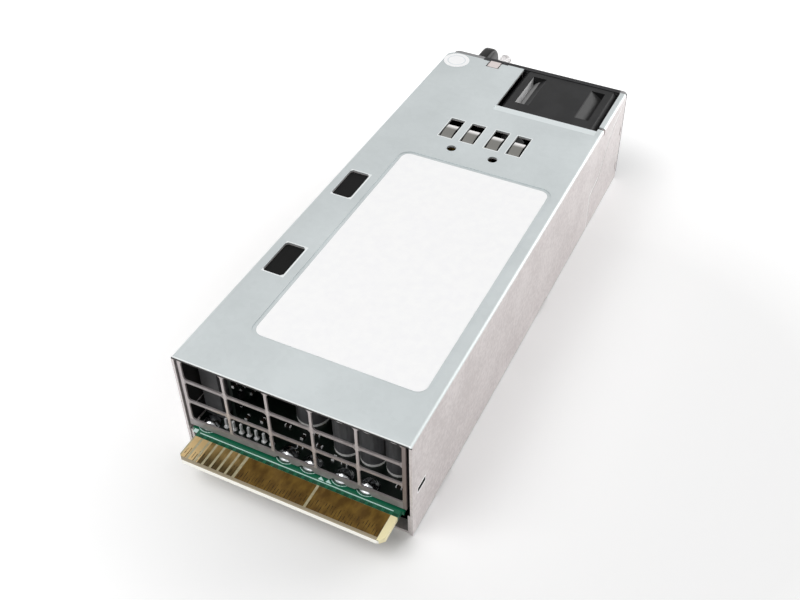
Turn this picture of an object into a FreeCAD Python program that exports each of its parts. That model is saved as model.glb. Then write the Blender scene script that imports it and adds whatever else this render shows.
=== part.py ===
# Hot swap server power supply, a 73.5 mm wide and 39 mm high slide-in module.
# X runs across the module, Y along it from the front panel to the card edge, Z up.
# The origin is on the underside, in the middle of the width and of the length.
import FreeCAD, Part
import math
import os
import re

import Sketcher

SIZES = {
    # housing
    "body_width": 73.5,
    "body_length": 185.0,
    "body_height": 39.0,
    "sheet": 0.8,
    "sheet_gap": 0.15,
    "bend_radius": 1.0,
    "fit_gap": 0.05,
    "lid_setback": 0.3,
    "base_setback": 0.4,
    "wall_notch_depth": 4.0,
    "wall_notch_low": 8.0,
    "seam_gap": 0.3,
    # joggled seam between cover and base, low on the right at the front
    "seam_end": -54.4,
    "seam_low": 15.8,
    "seam_knee": -63.0,
    "seam_knee_high": 18.1,
    "seam_slope": -71.0,
    "seam_bow": -76.8,
    "seam_slope_drop": 11.7,
    "seam_bow_drop": 6.7,
    "seam_front_drop": 1.4,
    # cover cut-outs
    "ledge_width": 3.4,
    "ledge_depth": 0.25,
    "relief_width": 1.4,
    "relief_drop": 1.6,
    "corner_round": 4.0,
    "finger_slot_width": 5.3,
    "finger_slot_length": 12.0,
    "finger_slot_near": -35.1,
    "finger_slot_pitch": 8.25,
    "clip_left": 9.05,
    "clip_right": -8.4,
    "clip_hole_radius": 1.7,
    "clip_hole_left": 8.2,
    "clip_hole_right": -7.3,
    "clip_thick": 0.5,
    "finger_width": 4.0,
    "finger_thick": 0.35,
    "finger_bow": 12.0,
    "finger_rise": 0.25,
    "clip_hole_place": -29.8,
    "film_slot_inset": 2.55,
    "film_slot_width": 7.1,
    "film_slot_length": 14.1,
    "film_slot_first": -3.8,
    "film_slot_second": 37.7,
    "film_slot_round": 0.8,
    "label_width": 53.4,
    "label_length": 96.0,
    "label_margin": 5.05,
    "label_centre_along": 27.2,
    "label_round": 3.0,
    "label_thick": 0.12,
    "recess_border": 1.2,
    "recess_depth": 0.25,
    "sticker_radius": 5.0,
    "sticker_inset": 5.75,
    "sticker_along": -84.6,
    "tab_slot_width": 5.3,
    "tab_slot_offset": 2.45,
    "tab_slot_near": -85.7,
    "tab_gap": 0.5,
    "tab_band": 2.6,
    "foot_notch_height": 0.8,
    "foot_notch_rear": 78.0,
    "foot_notch_rear_length": 10.5,
    "foot_notch_mid": -4.6,
    "foot_notch_mid_length": 8.0,
    "lance_along": 86.9,
    "lance_high": 17.0,
    "lance_length": 4.2,
    "lance_width": 1.0,
    "cover_screw_first": 44.0,
    "cover_screw_second": 64.0,
    "cover_screw_drop": 13.0,
    "screw_radius": 1.45,
    "screw_hole_radius": 1.6,
    "thread_radius": 1.5,
    "csk_depth": 0.7,
    "nut_radius": 3.0,
    "nut_thick": 1.6,
    # rear grille
    "grille_low": 11.2,
    "grille_sheet": 0.5,
    "grille_return": 12.0,
    "grille_window_low": 13.9,
    "grille_pitch_across": 13.7,
    "grille_pitch_up": 8.4,
    "grille_bar_across": 0.8,
    "grille_bar_up": 1.0,
    "grille_round": 0.7,
    "grille_notch_width": 5.4,
    "grille_notch_height": 1.1,
    "grille_columns": 5,
    "grille_rows": 3,
    # front panel and fan
    "panel_thick": 2.0,
    "panel_inset": 0.3,
    "panel_round": 1.6,
    "panel_corner": 4.0,
    "arm_thick": 1.0,
    "arm_gap": 0.1,
    "arm_length": 7.0,
    "arm_height": 9.0,
    "hook_place": -88.2,
    "hook_low_right": 7.1,
    "hook_low_left": 7.1,
    "hook_drop_right": 15.5,
    "hook_drop_left": 8.5,
    "hook_play": 0.15,
    "hook_slit_length": 3.8,
    "hook_slit_width": 1.0,
    "hook_reach": 0.8,
    "fan_margin": 0.5,
    "fan_depth": 28.0,
    "fan_gap": 0.5,
    "window_gap": 0.2,
    "fan_flange": 3.0,
    "fan_flange_rear": 5.2,
    "fan_bore_wall": 1.0,
    "fan_duct_over": 2.0,
    "fan_corner_round": 2.0,
    "fan_post": 4.6,
    "fan_screw_inset": 3.0,
    "fan_screw_length": 8.0,
    "fan_screw_head_radius": 2.5,
    "fan_screw_head": 0.9,
    "guard_margin": 0.3,
    "guard_thick": 0.8,
    "guard_border": 1.2,
    "hex_flats": 4.6,
    "hex_pitch": 5.4,
    "hex_columns": 7,
    "hub_radius": 9.5,
    "hub_wall": 1.0,
    "hub_length": 20.0,
    "blade_gap": 0.7,
    "blade_chord": 15.0,
    "blade_thick": 0.9,
    "blade_root_angle": 48.0,
    "blade_tip_angle": 30.0,
    "blade_count": 7,
    "shaft_radius": 1.0,
    "bearing_radius": 2.5,
    "bearing_width": 2.5,
    "bearing_tube_wall": 0.8,
    "strut_width": 2.2,
    "strut_depth": 2.0,
    "strut_count": 4,
    "stator_radius": 7.4,
    "stator_length": 9.0,
    "rotor_gap": 1.0,
    # mains inlet
    "inlet_width": 19.0,
    "inlet_height": 27.0,
    "inlet_depth": 22.0,
    "inlet_beside": 0.4,
    "inlet_below": 1.5,
    "inlet_recess": 0.6,
    "inlet_cavity_width": 16.4,
    "inlet_cavity_height": 24.4,
    "inlet_cavity_depth": 17.0,
    "inlet_chamfer": 4.6,
    "pin_wide": 4.0,
    "pin_thin": 2.0,
    "pin_pitch": 7.0,
    "pin_offset": 2.0,
    "pin_set_in": 1.5,
    "pin_tail": 4.0,
    "inlet_clear": 0.2,
    "bracket_beside": 0.8,
    "bracket_foot": 6.0,
    # handle
    "handle_beside": 0.6,
    "handle_width": 5.2,
    "handle_reach": 21.2,
    "handle_bottom": 5.2,
    "handle_drop": 5.8,
    "handle_bar": 4.6,
    "handle_round": 6.8,
    "handle_inner_round": 3.2,
    "handle_edge": 1.3,
    "handle_screw_length": 8.0,
    # status light
    "pipe_radius": 2.3,
    "pipe_offset": 2.0,
    "pipe_drop": 3.9,
    "pipe_nose": 0.8,
    "pipe_reach": 8.0,
    "pipe_tail": 4.0,
    "lamp_board": 1.0,
    # release lever
    "pivot_along": 30.0,
    "pivot_inset": 2.1,
    "pivot_radius": 1.0,
    "pivot_clear": 0.05,
    "eye_radius": 1.9,
    "lever_thick": 1.0,
    "lever_wall_gap": 0.3,
    "lever_below": 5.5,
    "lever_height": 10.0,
    "lever_nose": -99.0,
    "tooth_front": -46.0,
    "tooth_length": 6.0,
    "tooth_reach": 1.6,
    "tooth_margin": 1.0,
    "tooth_land": 1.2,
    "lever_sweep": 3.4,
    "thumb_length": 15.0,
    "thumb_margin": 1.4,
    "thumb_thick": 3.6,
    "spring_along": -20.0,
    "leaf_radius": 7.8,
    "leaf_thick": 0.3,
    "leaf_width": 8.0,
    "leaf_angle": 127.6,
    "ear_width": 16.0,
    # main board
    "board_top": 10.4,
    "board_thick": 1.6,
    "board_gap": 0.8,
    "board_front": -58.0,
    "board_beside": 0.5,
    "board_step": 36.0,
    "board_shoulder": 92.8,
    "tongue_inset_left": 2.3,
    "tongue_inset_right": 0.7,
    "tongue_reach": 11.7,
    "tongue_chamfer": 2.0,
    "tongue_bevel": 0.7,
    "contact_pitch": 2.54,
    "contact_margin": 1.42,
    "contact_width": 1.8,
    "contact_near": 102.8,
    "contact_far": 95.2,
    "contact_thick": 0.05,
    "signal_count": 7,
    "power_margin": 2.1,
    "power_gap": 0.8,
    "power_width": 22.0,
    "standoff_radius": 2.5,
    "standoff_inset": 4.0,
    "film_thick": 0.3,
    # output end
    "mound_radius": 2.4,
    "mound_height": 2.0,
    "mound_along": 89.3,
    "header_along": 88.4,
    "header_inset": 8.8,
    "header_pin": 0.64,
    "header_height": 3.4,
    "can_radius": 4.0,
    "can_height": 15.0,
    "can_edge": 0.6,
    "can_along": 79.6,
    "can_pitch": 8.4,
    "can_inset": 7.6,
    "can_row_gap": 8.8,
    "large_can_radius": 5.1,
    "large_can_across": 5.0,
    "large_can_along": 73.5,
    "card_inset": 9.2,
    "card_thick": 1.2,
    "card_front": 42.0,
    "card_length": 42.0,
    "card_height": 24.5,
    # power stage
    "bulk_radius": 12.2,
    "bulk_length": 45.0,
    "bulk_inset": 0.3,
    "bulk_edge": 0.8,
    "bulk_front": -27.0,
    "sink_across": -6.5,
    "sink_thick": 2.5,
    "sink_front": -26.0,
    "sink_length": 46.0,
    "sink_height": 25.0,
    "fin_reach": 14.0,
    "fin_width": 1.2,
    "device_thick": 4.8,
    "device_width": 15.6,
    "device_height": 19.0,
    "device_lift": 4.5,
    "lead_radius": 0.9,
    "plug_inset": 6.8,
    "choke_radius": 11.0,
    "choke_bore": 5.5,
    "choke_height": 11.0,
    "choke_wire": 1.0,
    "core_width": 32.0,
    "core_length": 26.0,
    "core_height": 24.0,
    "core_plate": 4.5,
    "core_leg": 4.0,
}

PLACES = {
    "half": "body_width/2",
    "front": "-body_length/2",
    "rear": "body_length/2",
    "lid_in": "half - sheet",
    "wall_out": "lid_in - sheet_gap",
    "wall_in": "wall_out - sheet",
    "lid_under": "body_height - sheet",
    "wall_top": "lid_under - sheet_gap",
    "panel_back": "front + panel_thick",
    "lid_front": "panel_back + lid_setback",
    "base_rear": "rear - base_setback",
    "seam_slope_high": "body_height - seam_slope_drop",
    "seam_bow_high": "body_height - seam_bow_drop",
    "seam_front_high": "body_height - seam_front_drop",
    "hook_high_right": "body_height - hook_drop_right",
    "hook_high_left": "body_height - hook_drop_left",
    "cover_screw_high": "body_height - cover_screw_drop",
    "film_slot_left": "lid_in - film_slot_inset",
    "sticker_across": "half - sticker_inset",
    "fan_size": "body_height - 2*fan_margin",
    "fan_edge": "wall_in - arm_thick - 2*arm_gap",
    "fan_x": "fan_size/2 - fan_edge",
    "fan_z": "body_height/2",
    "fan_back": "panel_back + fan_depth",
    "fan_bore_radius": "fan_size/2 - fan_bore_wall",
    "fan_duct_radius": "fan_size/2 + fan_duct_over",
    "fan_screw_pitch": "fan_size - 2*fan_screw_inset",
    "guard_side": "fan_size - 2*guard_margin",
    "guard_radius": "guard_side/2 - guard_border",
    "blade_reach": "fan_bore_radius - blade_gap",
    "window_left": "fan_x + fan_size/2 + fan_gap",
    "window_right": "fan_x - fan_size/2 - fan_gap",
    "window_near": "fan_back + window_gap",
    "grille_half": "wall_in - fit_gap",
    "grille_top": "lid_under - sheet_gap",
    "grille_window_width": "grille_pitch_across - grille_bar_across",
    "grille_window_height": "grille_pitch_up - grille_bar_up",
    "grille_window_left": "-((grille_columns - 1)*grille_pitch_across + grille_window_width)/2",
    "bracket_front": "panel_back",
    "bracket_back": "panel_back + sheet",
    "bracket_right": "window_left + fan_gap",
    "bracket_left": "lever_in - lever_sweep - bracket_beside",
    "inlet_across": "fan_x + fan_size/2 + inlet_beside + inlet_width/2",
    "inlet_up": "fan_z - inlet_below",
    "pipe_across": "inlet_across + pipe_offset",
    "pipe_up": "body_height - pipe_drop",
    "tab_slot_middle": "inlet_across + tab_slot_offset",
    "tab_slot_left": "tab_slot_middle + tab_slot_width/2",
    "tab_slot_right": "tab_slot_middle - tab_slot_width/2",
    "inlet_mouth": "front + inlet_recess",
    "inlet_end": "inlet_mouth + inlet_depth",
    "inlet_floor": "inlet_mouth + inlet_cavity_depth",
    "handle_right": "inlet_across + inlet_width/2 + handle_beside",
    "handle_left": "handle_right + handle_width",
    "handle_top": "body_height - handle_drop",
    "handle_middle": "handle_left - handle_width/2",
    "handle_tip": "front - handle_reach",
    "handle_low_screw": "handle_bottom + handle_bar/2 + handle_edge",
    "handle_high_screw": "handle_top - handle_bar/2 - handle_edge",
    "lever_out": "wall_in - lever_wall_gap",
    "lever_in": "lever_out - lever_thick",
    "lever_low": "fan_z - lever_below",
    "lever_top": "lever_low + lever_height",
    "pivot_x": "wall_in - pivot_inset",
    "tooth_rear": "tooth_front + tooth_length",
    "tooth_tip": "half + tooth_reach",
    "spring_length": "leaf_radius - (leaf_radius - leaf_thick)*cos(leaf_angle/2) + 2*fit_gap",
    "ear_out": "lever_in - spring_length",
    "board_under": "board_top - board_thick",
    "board_half": "wall_in - board_gap",
    "board_narrow": "ear_out - sheet - board_beside",
    "tongue_left": "board_half - tongue_inset_left",
    "tongue_right": "-board_half + tongue_inset_right",
    "contact_first": "tongue_left - contact_margin",
    "power_second": "tongue_right + power_margin + power_width",
    "power_first": "power_second + power_gap + power_width",
    "header_first": "board_half - header_inset",
    "can_first": "-board_half + can_inset",
    "card_across": "board_half - card_inset",
    "bulk_across": "-board_half + bulk_radius + bulk_inset",
    "plug_across": "-board_half + plug_inset",
    "tongue_end": "rear + tongue_reach",
    "label_right": "-half + label_margin",
    "label_left": "label_right + label_width",
    "recess_left": "label_left + recess_border",
    "recess_right": "label_right - recess_border",
    "recess_near": "label_centre_along + label_length/2 + recess_border",
    "recess_far": "label_centre_along - label_length/2 - recess_border",
    "label_low": "body_height - recess_depth",
    "standoff_x": "board_half - standoff_inset",
    "core_front": "board_step - 10",
    "core_across": "6",
}

MOUNDS = ("4", "-3.7", "-13.8", "-21.7")

WORD = re.compile(r"[a-z][a-z_]*")
NODES = []


def formula(text):
    """Writes a formula for the expression engine: aliases get the sheet's name, places are expanded."""

    def swap(match):
        word = match.group()
        if word in PLACES:
            return "(" + formula(PLACES[word]) + ")"
        if word in SIZES:
            return "Sizes." + word
        return word

    return WORD.sub(swap, str(text))


def bind(thing, **properties):
    """Binds properties to formulas; a double underscore stands for a dot."""
    for name, text in properties.items():
        thing.setExpression(name.replace("__", "."), formula(text))


def place(thing, x="0", y="0", z="0"):
    """Binds the position of an object to three formulas."""
    for axis, text in zip("xyz", (x, y, z)):
        thing.setExpression("Placement.Base." + axis, formula(text))
    return thing


def node(thing, name):
    """Registers a finished sub-part under the name of its file."""
    thing.Label = name
    NODES.append(thing)
    return thing


# ---------------------------------------------------------------- sketch loops

def rect(x0, y0, x1, y1):
    """A rectangle between two corners."""
    return ("poly", [(x0, y0), (x1, y0), (x1, y1), (x0, y1)])


def poly(*corners):
    """A closed outline of straight edges."""
    return ("poly", list(corners))


def clipped(x0, y0, x1, y1, cut):
    """A rectangle whose corners are cut off at 45 degrees."""
    return poly(
        (f"{x0} + {cut}", y0), (f"{x1} - {cut}", y0), (x1, f"{y0} + {cut}"), (x1, f"{y1} - {cut}"),
        (f"{x1} - {cut}", y1), (f"{x0} + {cut}", y1), (x0, f"{y1} - {cut}"), (x0, f"{y0} + {cut}"),
    )


def even(x, y, radius, sides=8):
    """A regular outline whose first corner lies beside its centre."""
    return poly(*[
        (f"{x} + ({radius})*{math.cos(2*math.pi*k/sides):.6f}", f"{y} + ({radius})*{math.sin(2*math.pi*k/sides):.6f}")
        for k in range(sides)
    ])


def circle(x, y, radius):
    """A full circle."""
    return ("circle", (x, y, radius))


def tie(sketch, geometry, point, x, y):
    """Ties one point of a sketch to the origin with two driving distances."""
    for kind, text in (("DistanceX", x), ("DistanceY", y)):
        number = sketch.addConstraint(Sketcher.Constraint(kind, -1, 1, geometry, point, 1.0))
        sketch.setExpression(f"Constraints[{number}]", formula(text))


def draw_poly(sketch, corners):
    """Adds a closed outline whose corners are all tied."""
    count = len(corners)
    ring = [FreeCAD.Vector(math.cos(2*math.pi*i/count), math.sin(2*math.pi*i/count), 0) for i in range(count)]
    edges = [Part.LineSegment(ring[i], ring[(i + 1) % count]) for i in range(count)]
    first = sketch.addGeometry(edges, False)[0]
    for i in range(count):
        following = first + (i + 1) % count
        sketch.addConstraint(Sketcher.Constraint("Coincident", first + i, 2, following, 1))
        tie(sketch, first + i, 1, *corners[i])


def draw_circle(sketch, x, y, radius):
    """Adds a circle with a tied centre and a driven radius."""
    number = sketch.addGeometry(Part.Circle(FreeCAD.Vector(), FreeCAD.Vector(0, 0, 1), 1.0), False)
    tie(sketch, number, 3, x, y)
    size = sketch.addConstraint(Sketcher.Constraint("Radius", number, 1.0))
    sketch.setExpression(f"Constraints[{size}]", formula(radius))


def make_sketch(body, plane, level, loops):
    """A sketch on one of the body's origin planes, moved along that plane's normal to a level."""
    support = next(f for f in body.Origin.OriginFeatures if f.Role == plane + "_Plane")
    sketch = body.newObject("Sketcher::SketchObject", body.Name + "_sketch")
    sketch.AttachmentSupport = [(support, "")]
    sketch.MapMode = "FlatFace"
    toward = "-" if plane == "XZ" else ""
    sketch.setExpression("AttachmentOffset.Base.z", formula(f"{toward}({level})"))
    for kind, data in loops:
        if kind == "circle":
            draw_circle(sketch, *data)
        else:
            draw_poly(sketch, data)
    return sketch


# ---------------------------------------------------------------- features

def new_body(name):
    """An empty PartDesign body."""
    return FreeCAD.ActiveDocument.addObject("PartDesign::Body", name)


def pad(body, plane, low, high, *loops):
    """Adds the prism of some loops between two levels along the plane's axis."""
    sketch = make_sketch(body, plane, high if plane == "XZ" else low, loops)
    feature = body.newObject("PartDesign::Pad", body.Name + "_pad")
    feature.Profile = sketch
    feature.setExpression("Length", formula(f"({high}) - ({low})"))
    return feature


def pocket(body, plane, low, high, *loops):
    """Removes the prism of some loops between two levels along the plane's axis."""
    sketch = make_sketch(body, plane, low if plane == "XZ" else high, loops)
    feature = body.newObject("PartDesign::Pocket", body.Name + "_pocket")
    feature.Profile = sketch
    feature.setExpression("Length", formula(f"({high}) - ({low})"))
    return feature


def revolve(body, axis, *loops):
    """Turns loops drawn in the XZ plane about the body's own X or Z axis."""
    sketch = make_sketch(body, "XZ", "0", loops)
    feature = body.newObject("PartDesign::Revolution", body.Name + "_revolution")
    feature.Profile = sketch
    feature.ReferenceAxis = (sketch, ["V_Axis" if axis == "Z" else "H_Axis"])
    feature.Angle = 360.0
    return feature


def dress(body, kind, test, **size):
    """Fillets or chamfers the edges that pass a test."""
    FreeCAD.ActiveDocument.recompute()
    base = body.Tip
    names = [f"Edge{i}" for i, edge in enumerate(base.Shape.Edges, 1) if test(edge)]
    feature = body.newObject("PartDesign::" + kind, body.Name + "_" + kind.lower())
    feature.Base = (base, names)
    bind(feature, **size)
    return feature


def repeat(body, feature, pitch, count):
    """Repeats a feature along the horizontal axis of its sketch."""
    pattern = body.newObject("PartDesign::LinearPattern", body.Name + "_pattern")
    pattern.Originals = [feature]
    pattern.Direction = (feature.Profile[0], ["H_Axis"])
    pattern.Mode = "Spacing"
    bind(pattern, Offset=pitch, Occurrences=count)
    body.Tip = pattern
    return pattern


def runs_along(edge, axis):
    """True for a straight edge parallel to an axis, given as 0, 1 or 2."""
    if edge.Curve.TypeId != "Part::GeomLine":
        return False
    spans = [edge.BoundBox.XLength, edge.BoundBox.YLength, edge.BoundBox.ZLength]
    return all(span < 1e-6 for i, span in enumerate(spans) if i != axis)


def middle(edge):
    """The centre of an edge's box."""
    return edge.BoundBox.Center


# ---------------------------------------------------------------- plain solids

def block(x0, y0, z0, x1, y1, z1):
    """A box between two corners."""
    box = FreeCAD.ActiveDocument.addObject("Part::Box", "block")
    bind(box, Length=f"({x1}) - ({x0})", Width=f"({y1}) - ({y0})", Height=f"({z1}) - ({z0})")
    return place(box, x0, y0, z0)


def rod(axis, x, y, z, radius, length, sides=0):
    """A cylinder, or a prism with so many sides, that starts at a point and runs along +X, +Y or +Z."""
    bar = FreeCAD.ActiveDocument.addObject("Part::Prism" if sides else "Part::Cylinder", "rod")
    turns = {"X": ((0, 1, 0), 90), "Y": ((1, 0, 0), -90), "Z": ((0, 0, 1), 0)}
    direction, angle = turns[axis]
    bar.Placement.Rotation = FreeCAD.Rotation(FreeCAD.Vector(*direction), angle)
    if sides:
        bar.Polygon = sides
        bind(bar, Circumradius=radius, Height=length)
    else:
        bind(bar, Radius=radius, Height=length)
    return place(bar, x, y, z)


def ring(axis, x, y, z, radius, bore, length, sides=0):
    """A tube along an axis."""
    return minus(rod(axis, x, y, z, radius, length, sides), rod(axis, x, y, z, bore, length, sides))


def minus(base, *tools):
    """The base without its tools."""
    for tool in tools:
        result = FreeCAD.ActiveDocument.addObject("Part::Cut", "cut")
        result.Base, result.Tool = base, tool
        base = result
    return base


def join(*parts):
    """One solid of several that touch or overlap."""
    result = FreeCAD.ActiveDocument.addObject("Part::MultiFuse", "joined")
    result.Shapes = list(parts)
    result.Refine = True
    return result


def group(*parts):
    """Separate solids kept in one object."""
    result = FreeCAD.ActiveDocument.addObject("Part::Compound", "group")
    result.Links = list(parts)
    return result


def soften(base, test, radius, kind="Part::Fillet"):
    """Fillets or chamfers the edges of a plain solid that pass a test."""
    FreeCAD.ActiveDocument.recompute()
    result = FreeCAD.ActiveDocument.addObject(kind, "softened")
    result.Base = base
    result.Edges = [(i, radius, radius) for i, edge in enumerate(base.Shape.Edges, 1) if test(edge)]
    return result


# ---------------------------------------------------------------- housing

def seam(gap):
    """The joggled seam as outline corners, moved down and forward by a gap."""
    steps = [
        ("seam_end", "seam_low"),
        ("seam_knee", "seam_knee_high"),
        ("seam_slope", "seam_slope_high"),
        ("seam_bow", "seam_bow_high"),
    ]
    return [(f"{along} - {gap}", f"{high} - {gap}") for along, high in steps]


def hook_slits(side, play):
    """Outlines of the two slits of one wall, shrunk by a play to give the hooks that fill them."""
    return [
        rect(
            f"hook_place - hook_slit_width/2 + {play}", f"{z} - hook_slit_length/2 + {play}",
            f"hook_place + hook_slit_width/2 - {play}", f"{z} + hook_slit_length/2 - {play}",
        )
        for z in ("hook_low_" + side, "hook_high_" + side)
    ]


def make_chassis_base():
    """Folded tray: floor, two walls, flush boss on the right, hook slits, nuts and spring ear."""
    body = new_body("chassis_base")
    pad(
        body, "XZ", "panel_back", "base_rear",
        poly(
            ("-wall_out", "0"), ("wall_out", "0"), ("wall_out", "wall_top"), ("wall_in", "wall_top"),
            ("wall_in", "sheet"), ("-wall_in", "sheet"), ("-wall_in", "wall_top"), ("-wall_out", "wall_top"),
        ),
    )
    dress(
        body, "Fillet",
        lambda e: runs_along(e, 1) and middle(e).z < 0.01 and abs(middle(e).x) > SIZES["body_width"]/2 - 2,
        Radius="bend_radius",
    )
    pad(
        body, "YZ", "-half", "-wall_in",
        poly(
            ("panel_back", "0"), ("seam_end - seam_gap", "0"), *seam("seam_gap"),
            ("panel_back", "seam_front_high - seam_gap"),
        ),
    )
    pocket(body, "XY", "-1", "sheet + 0.1", rect("window_right", "panel_back - 1", "window_left", "window_near"))
    pocket(
        body, "YZ", "-half", "half",
        rect("rear - wall_notch_depth", "wall_notch_low", "rear + 1", "body_height"),
    )
    pocket(body, "YZ", "-half", "-wall_in + 0.1", *hook_slits("right", "0"))
    pocket(body, "YZ", "wall_in - 0.1", "wall_out", *hook_slits("left", "0"))
    pocket(
        body, "YZ", "wall_in - 0.1", "wall_out",
        rect("tooth_front - tooth_margin", "lever_low", "tooth_rear + tooth_margin", "lever_top"),
    )
    nuts = [even(y, "cover_screw_high", "nut_radius", 6) for y in ("cover_screw_first", "cover_screw_second")]
    pad(body, "YZ", "wall_in - nut_thick", "wall_in", *nuts)
    holes = [even(y, "cover_screw_high", "thread_radius") for y in ("cover_screw_first", "cover_screw_second")]
    pocket(body, "YZ", "wall_in - nut_thick - 0.1", "wall_out", *holes)
    pad(
        body, "YZ", "ear_out - sheet", "ear_out",
        rect("spring_along - ear_width/2", "sheet/2", "spring_along + ear_width/2", "lever_top"),
    )
    return node(body, "chassis_base")


def make_top_cover():
    """Folded lid with two flanges, cut away over the fan and along the seam."""
    body = new_body("top_cover")
    pad(
        body, "XZ", "lid_front", "rear",
        poly(
            ("-half", "0"), ("-lid_in", "0"), ("-lid_in", "lid_under"), ("lid_in", "lid_under"),
            ("lid_in", "0"), ("half", "0"), ("half", "body_height"), ("-half", "body_height"),
        ),
    )
    dress(
        body, "Fillet",
        lambda e: runs_along(e, 1) and middle(e).z > SIZES["body_height"] - 0.01,
        Radius="bend_radius",
    )
    dress(
        body, "Fillet",
        lambda e: runs_along(e, 1) and abs(middle(e).z - SIZES["body_height"] + SIZES["sheet"]) < 0.01,
        Radius="bend_radius - sheet",
    )
    cut_cover_top(body)
    cut_cover_flanges(body)
    return node(body, "top_cover")


def cut_cover_top(body):
    """Fan window, finger slots, film slots, tab slot and the shallow recesses."""
    slots = [
        rect(
            f"{clip} + {side}*finger_slot_pitch/2 - finger_slot_width/2", "finger_slot_near - finger_slot_length",
            f"{clip} + {side}*finger_slot_pitch/2 + finger_slot_width/2", "finger_slot_near",
        )
        for clip in ("clip_left", "clip_right") for side in (-1, 1)
    ]
    holes = [even(x, "clip_hole_place", "clip_hole_radius", 16) for x in ("clip_hole_left", "clip_hole_right")]
    films = [
        clipped("film_slot_left - film_slot_width", y, "film_slot_left", f"{y} + film_slot_length", "film_slot_round")
        for y in ("film_slot_first", "film_slot_second")
    ]
    tab = rect("tab_slot_right", "lid_front - 1", "tab_slot_left", "tab_slot_near")
    pocket(body, "XY", "lid_under - 0.1", "body_height", *slots, *holes, *films, tab)
    pocket(
        body, "XY", "lid_under - relief_drop", "body_height",
        rect("window_right", "lid_front - 1", "window_left", "window_near"),
        rect("-half - 1", "window_near - relief_width - 1.2", "window_right + 0.1", "window_near - 1.2"),
    )
    pocket(
        body, "XY", "body_height - ledge_depth", "body_height",
        rect("window_right", "window_near - 0.1", "window_left", "window_near + ledge_width"),
    )
    pocket(
        body, "XY", "body_height - ledge_depth", "body_height",
        rect("tab_slot_right - tab_band", "lid_front - 1", "tab_slot_left + tab_band", "lid_front + 0.7"),
    )
    pocket(
        body, "XY", "label_low", "body_height",
        rect("recess_right", "recess_far", "recess_left", "recess_near"),
    )
    far = SIZES["label_centre_along"] - SIZES["label_length"]/2 - SIZES["recess_border"]
    dress(
        body, "Fillet",
        lambda e: runs_along(e, 2) and abs(e.Length - SIZES["recess_depth"]) < 1e-4 and middle(e).y > far - 0.1,
        Radius="label_round + recess_border",
    )


def cut_cover_flanges(body):
    """Seam, corner relief, foot notches, lance slits, tooth window and countersunk holes."""
    pocket(
        body, "YZ", "-half", "-lid_in + 0.1",
        poly(
            ("lid_front - 1", "-1"), ("seam_end", "-1"), *seam("0"), ("lid_front - 1", "seam_front_high"),
        ),
    )
    arc = [
        (
            f"half - corner_round*{1 - math.cos(math.radians(angle)):.6f}",
            f"lid_front + corner_round*{1 - math.sin(math.radians(angle)):.6f}",
        )
        for angle in (0, 15, 30, 45, 60, 75, 90)
    ]
    pocket(
        body, "XY", "-1", "body_height",
        poly(
            *arc, ("half - corner_round", "lid_front - 1"), ("half + 1", "lid_front - 1"),
            ("half + 1", "lid_front + corner_round"),
        ),
    )
    feet = [
        rect(f"{y} - {length}", "-1", y, "foot_notch_height")
        for y, length in (("foot_notch_rear", "foot_notch_rear_length"), ("foot_notch_mid", "foot_notch_mid_length"))
    ]
    lance = rect(
        "lance_along - lance_length/2", "lance_high - lance_width/2",
        "lance_along + lance_length/2", "lance_high + lance_width/2",
    )
    pocket(body, "YZ", "-half", "half", *feet)
    pocket(body, "YZ", "-half", "-lid_in + 0.1", lance)
    holes = [
        circle(y, "cover_screw_high", "screw_hole_radius") for y in ("cover_screw_first", "cover_screw_second")
    ]
    tooth = rect("tooth_front - tooth_margin", "lever_low", "tooth_rear + tooth_margin", "lever_top")
    pocket(body, "YZ", "lid_in - 0.1", "half", tooth, *holes)
    dress(
        body, "Chamfer",
        lambda e: e.Curve.TypeId == "Part::GeomCircle" and middle(e).x > SIZES["body_width"]/2 - 0.01
        and abs(e.Curve.Radius - SIZES["screw_hole_radius"]) < 0.01,
        Size="csk_depth",
    )


def make_cover_screws():
    """Two countersunk screws through the left flange into the nuts of the base."""
    screws = []
    for y in ("cover_screw_first", "cover_screw_second"):
        head = FreeCAD.ActiveDocument.addObject("Part::Cone", "head")
        head.Placement.Rotation = FreeCAD.Rotation(FreeCAD.Vector(0, 1, 0), 90)
        bind(head, Radius1="screw_radius", Radius2="screw_radius + csk_depth", Height="csk_depth")
        place(head, "half - csk_depth", y, "cover_screw_high")
        shank = rod(
            "X", "wall_in - nut_thick", y, "cover_screw_high", "screw_radius",
            "nut_thick + half - csk_depth - wall_in + 0.05", 8,
        )
        screws.append(join(head, shank))
    return node(group(*screws), "cover_screws")


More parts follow.
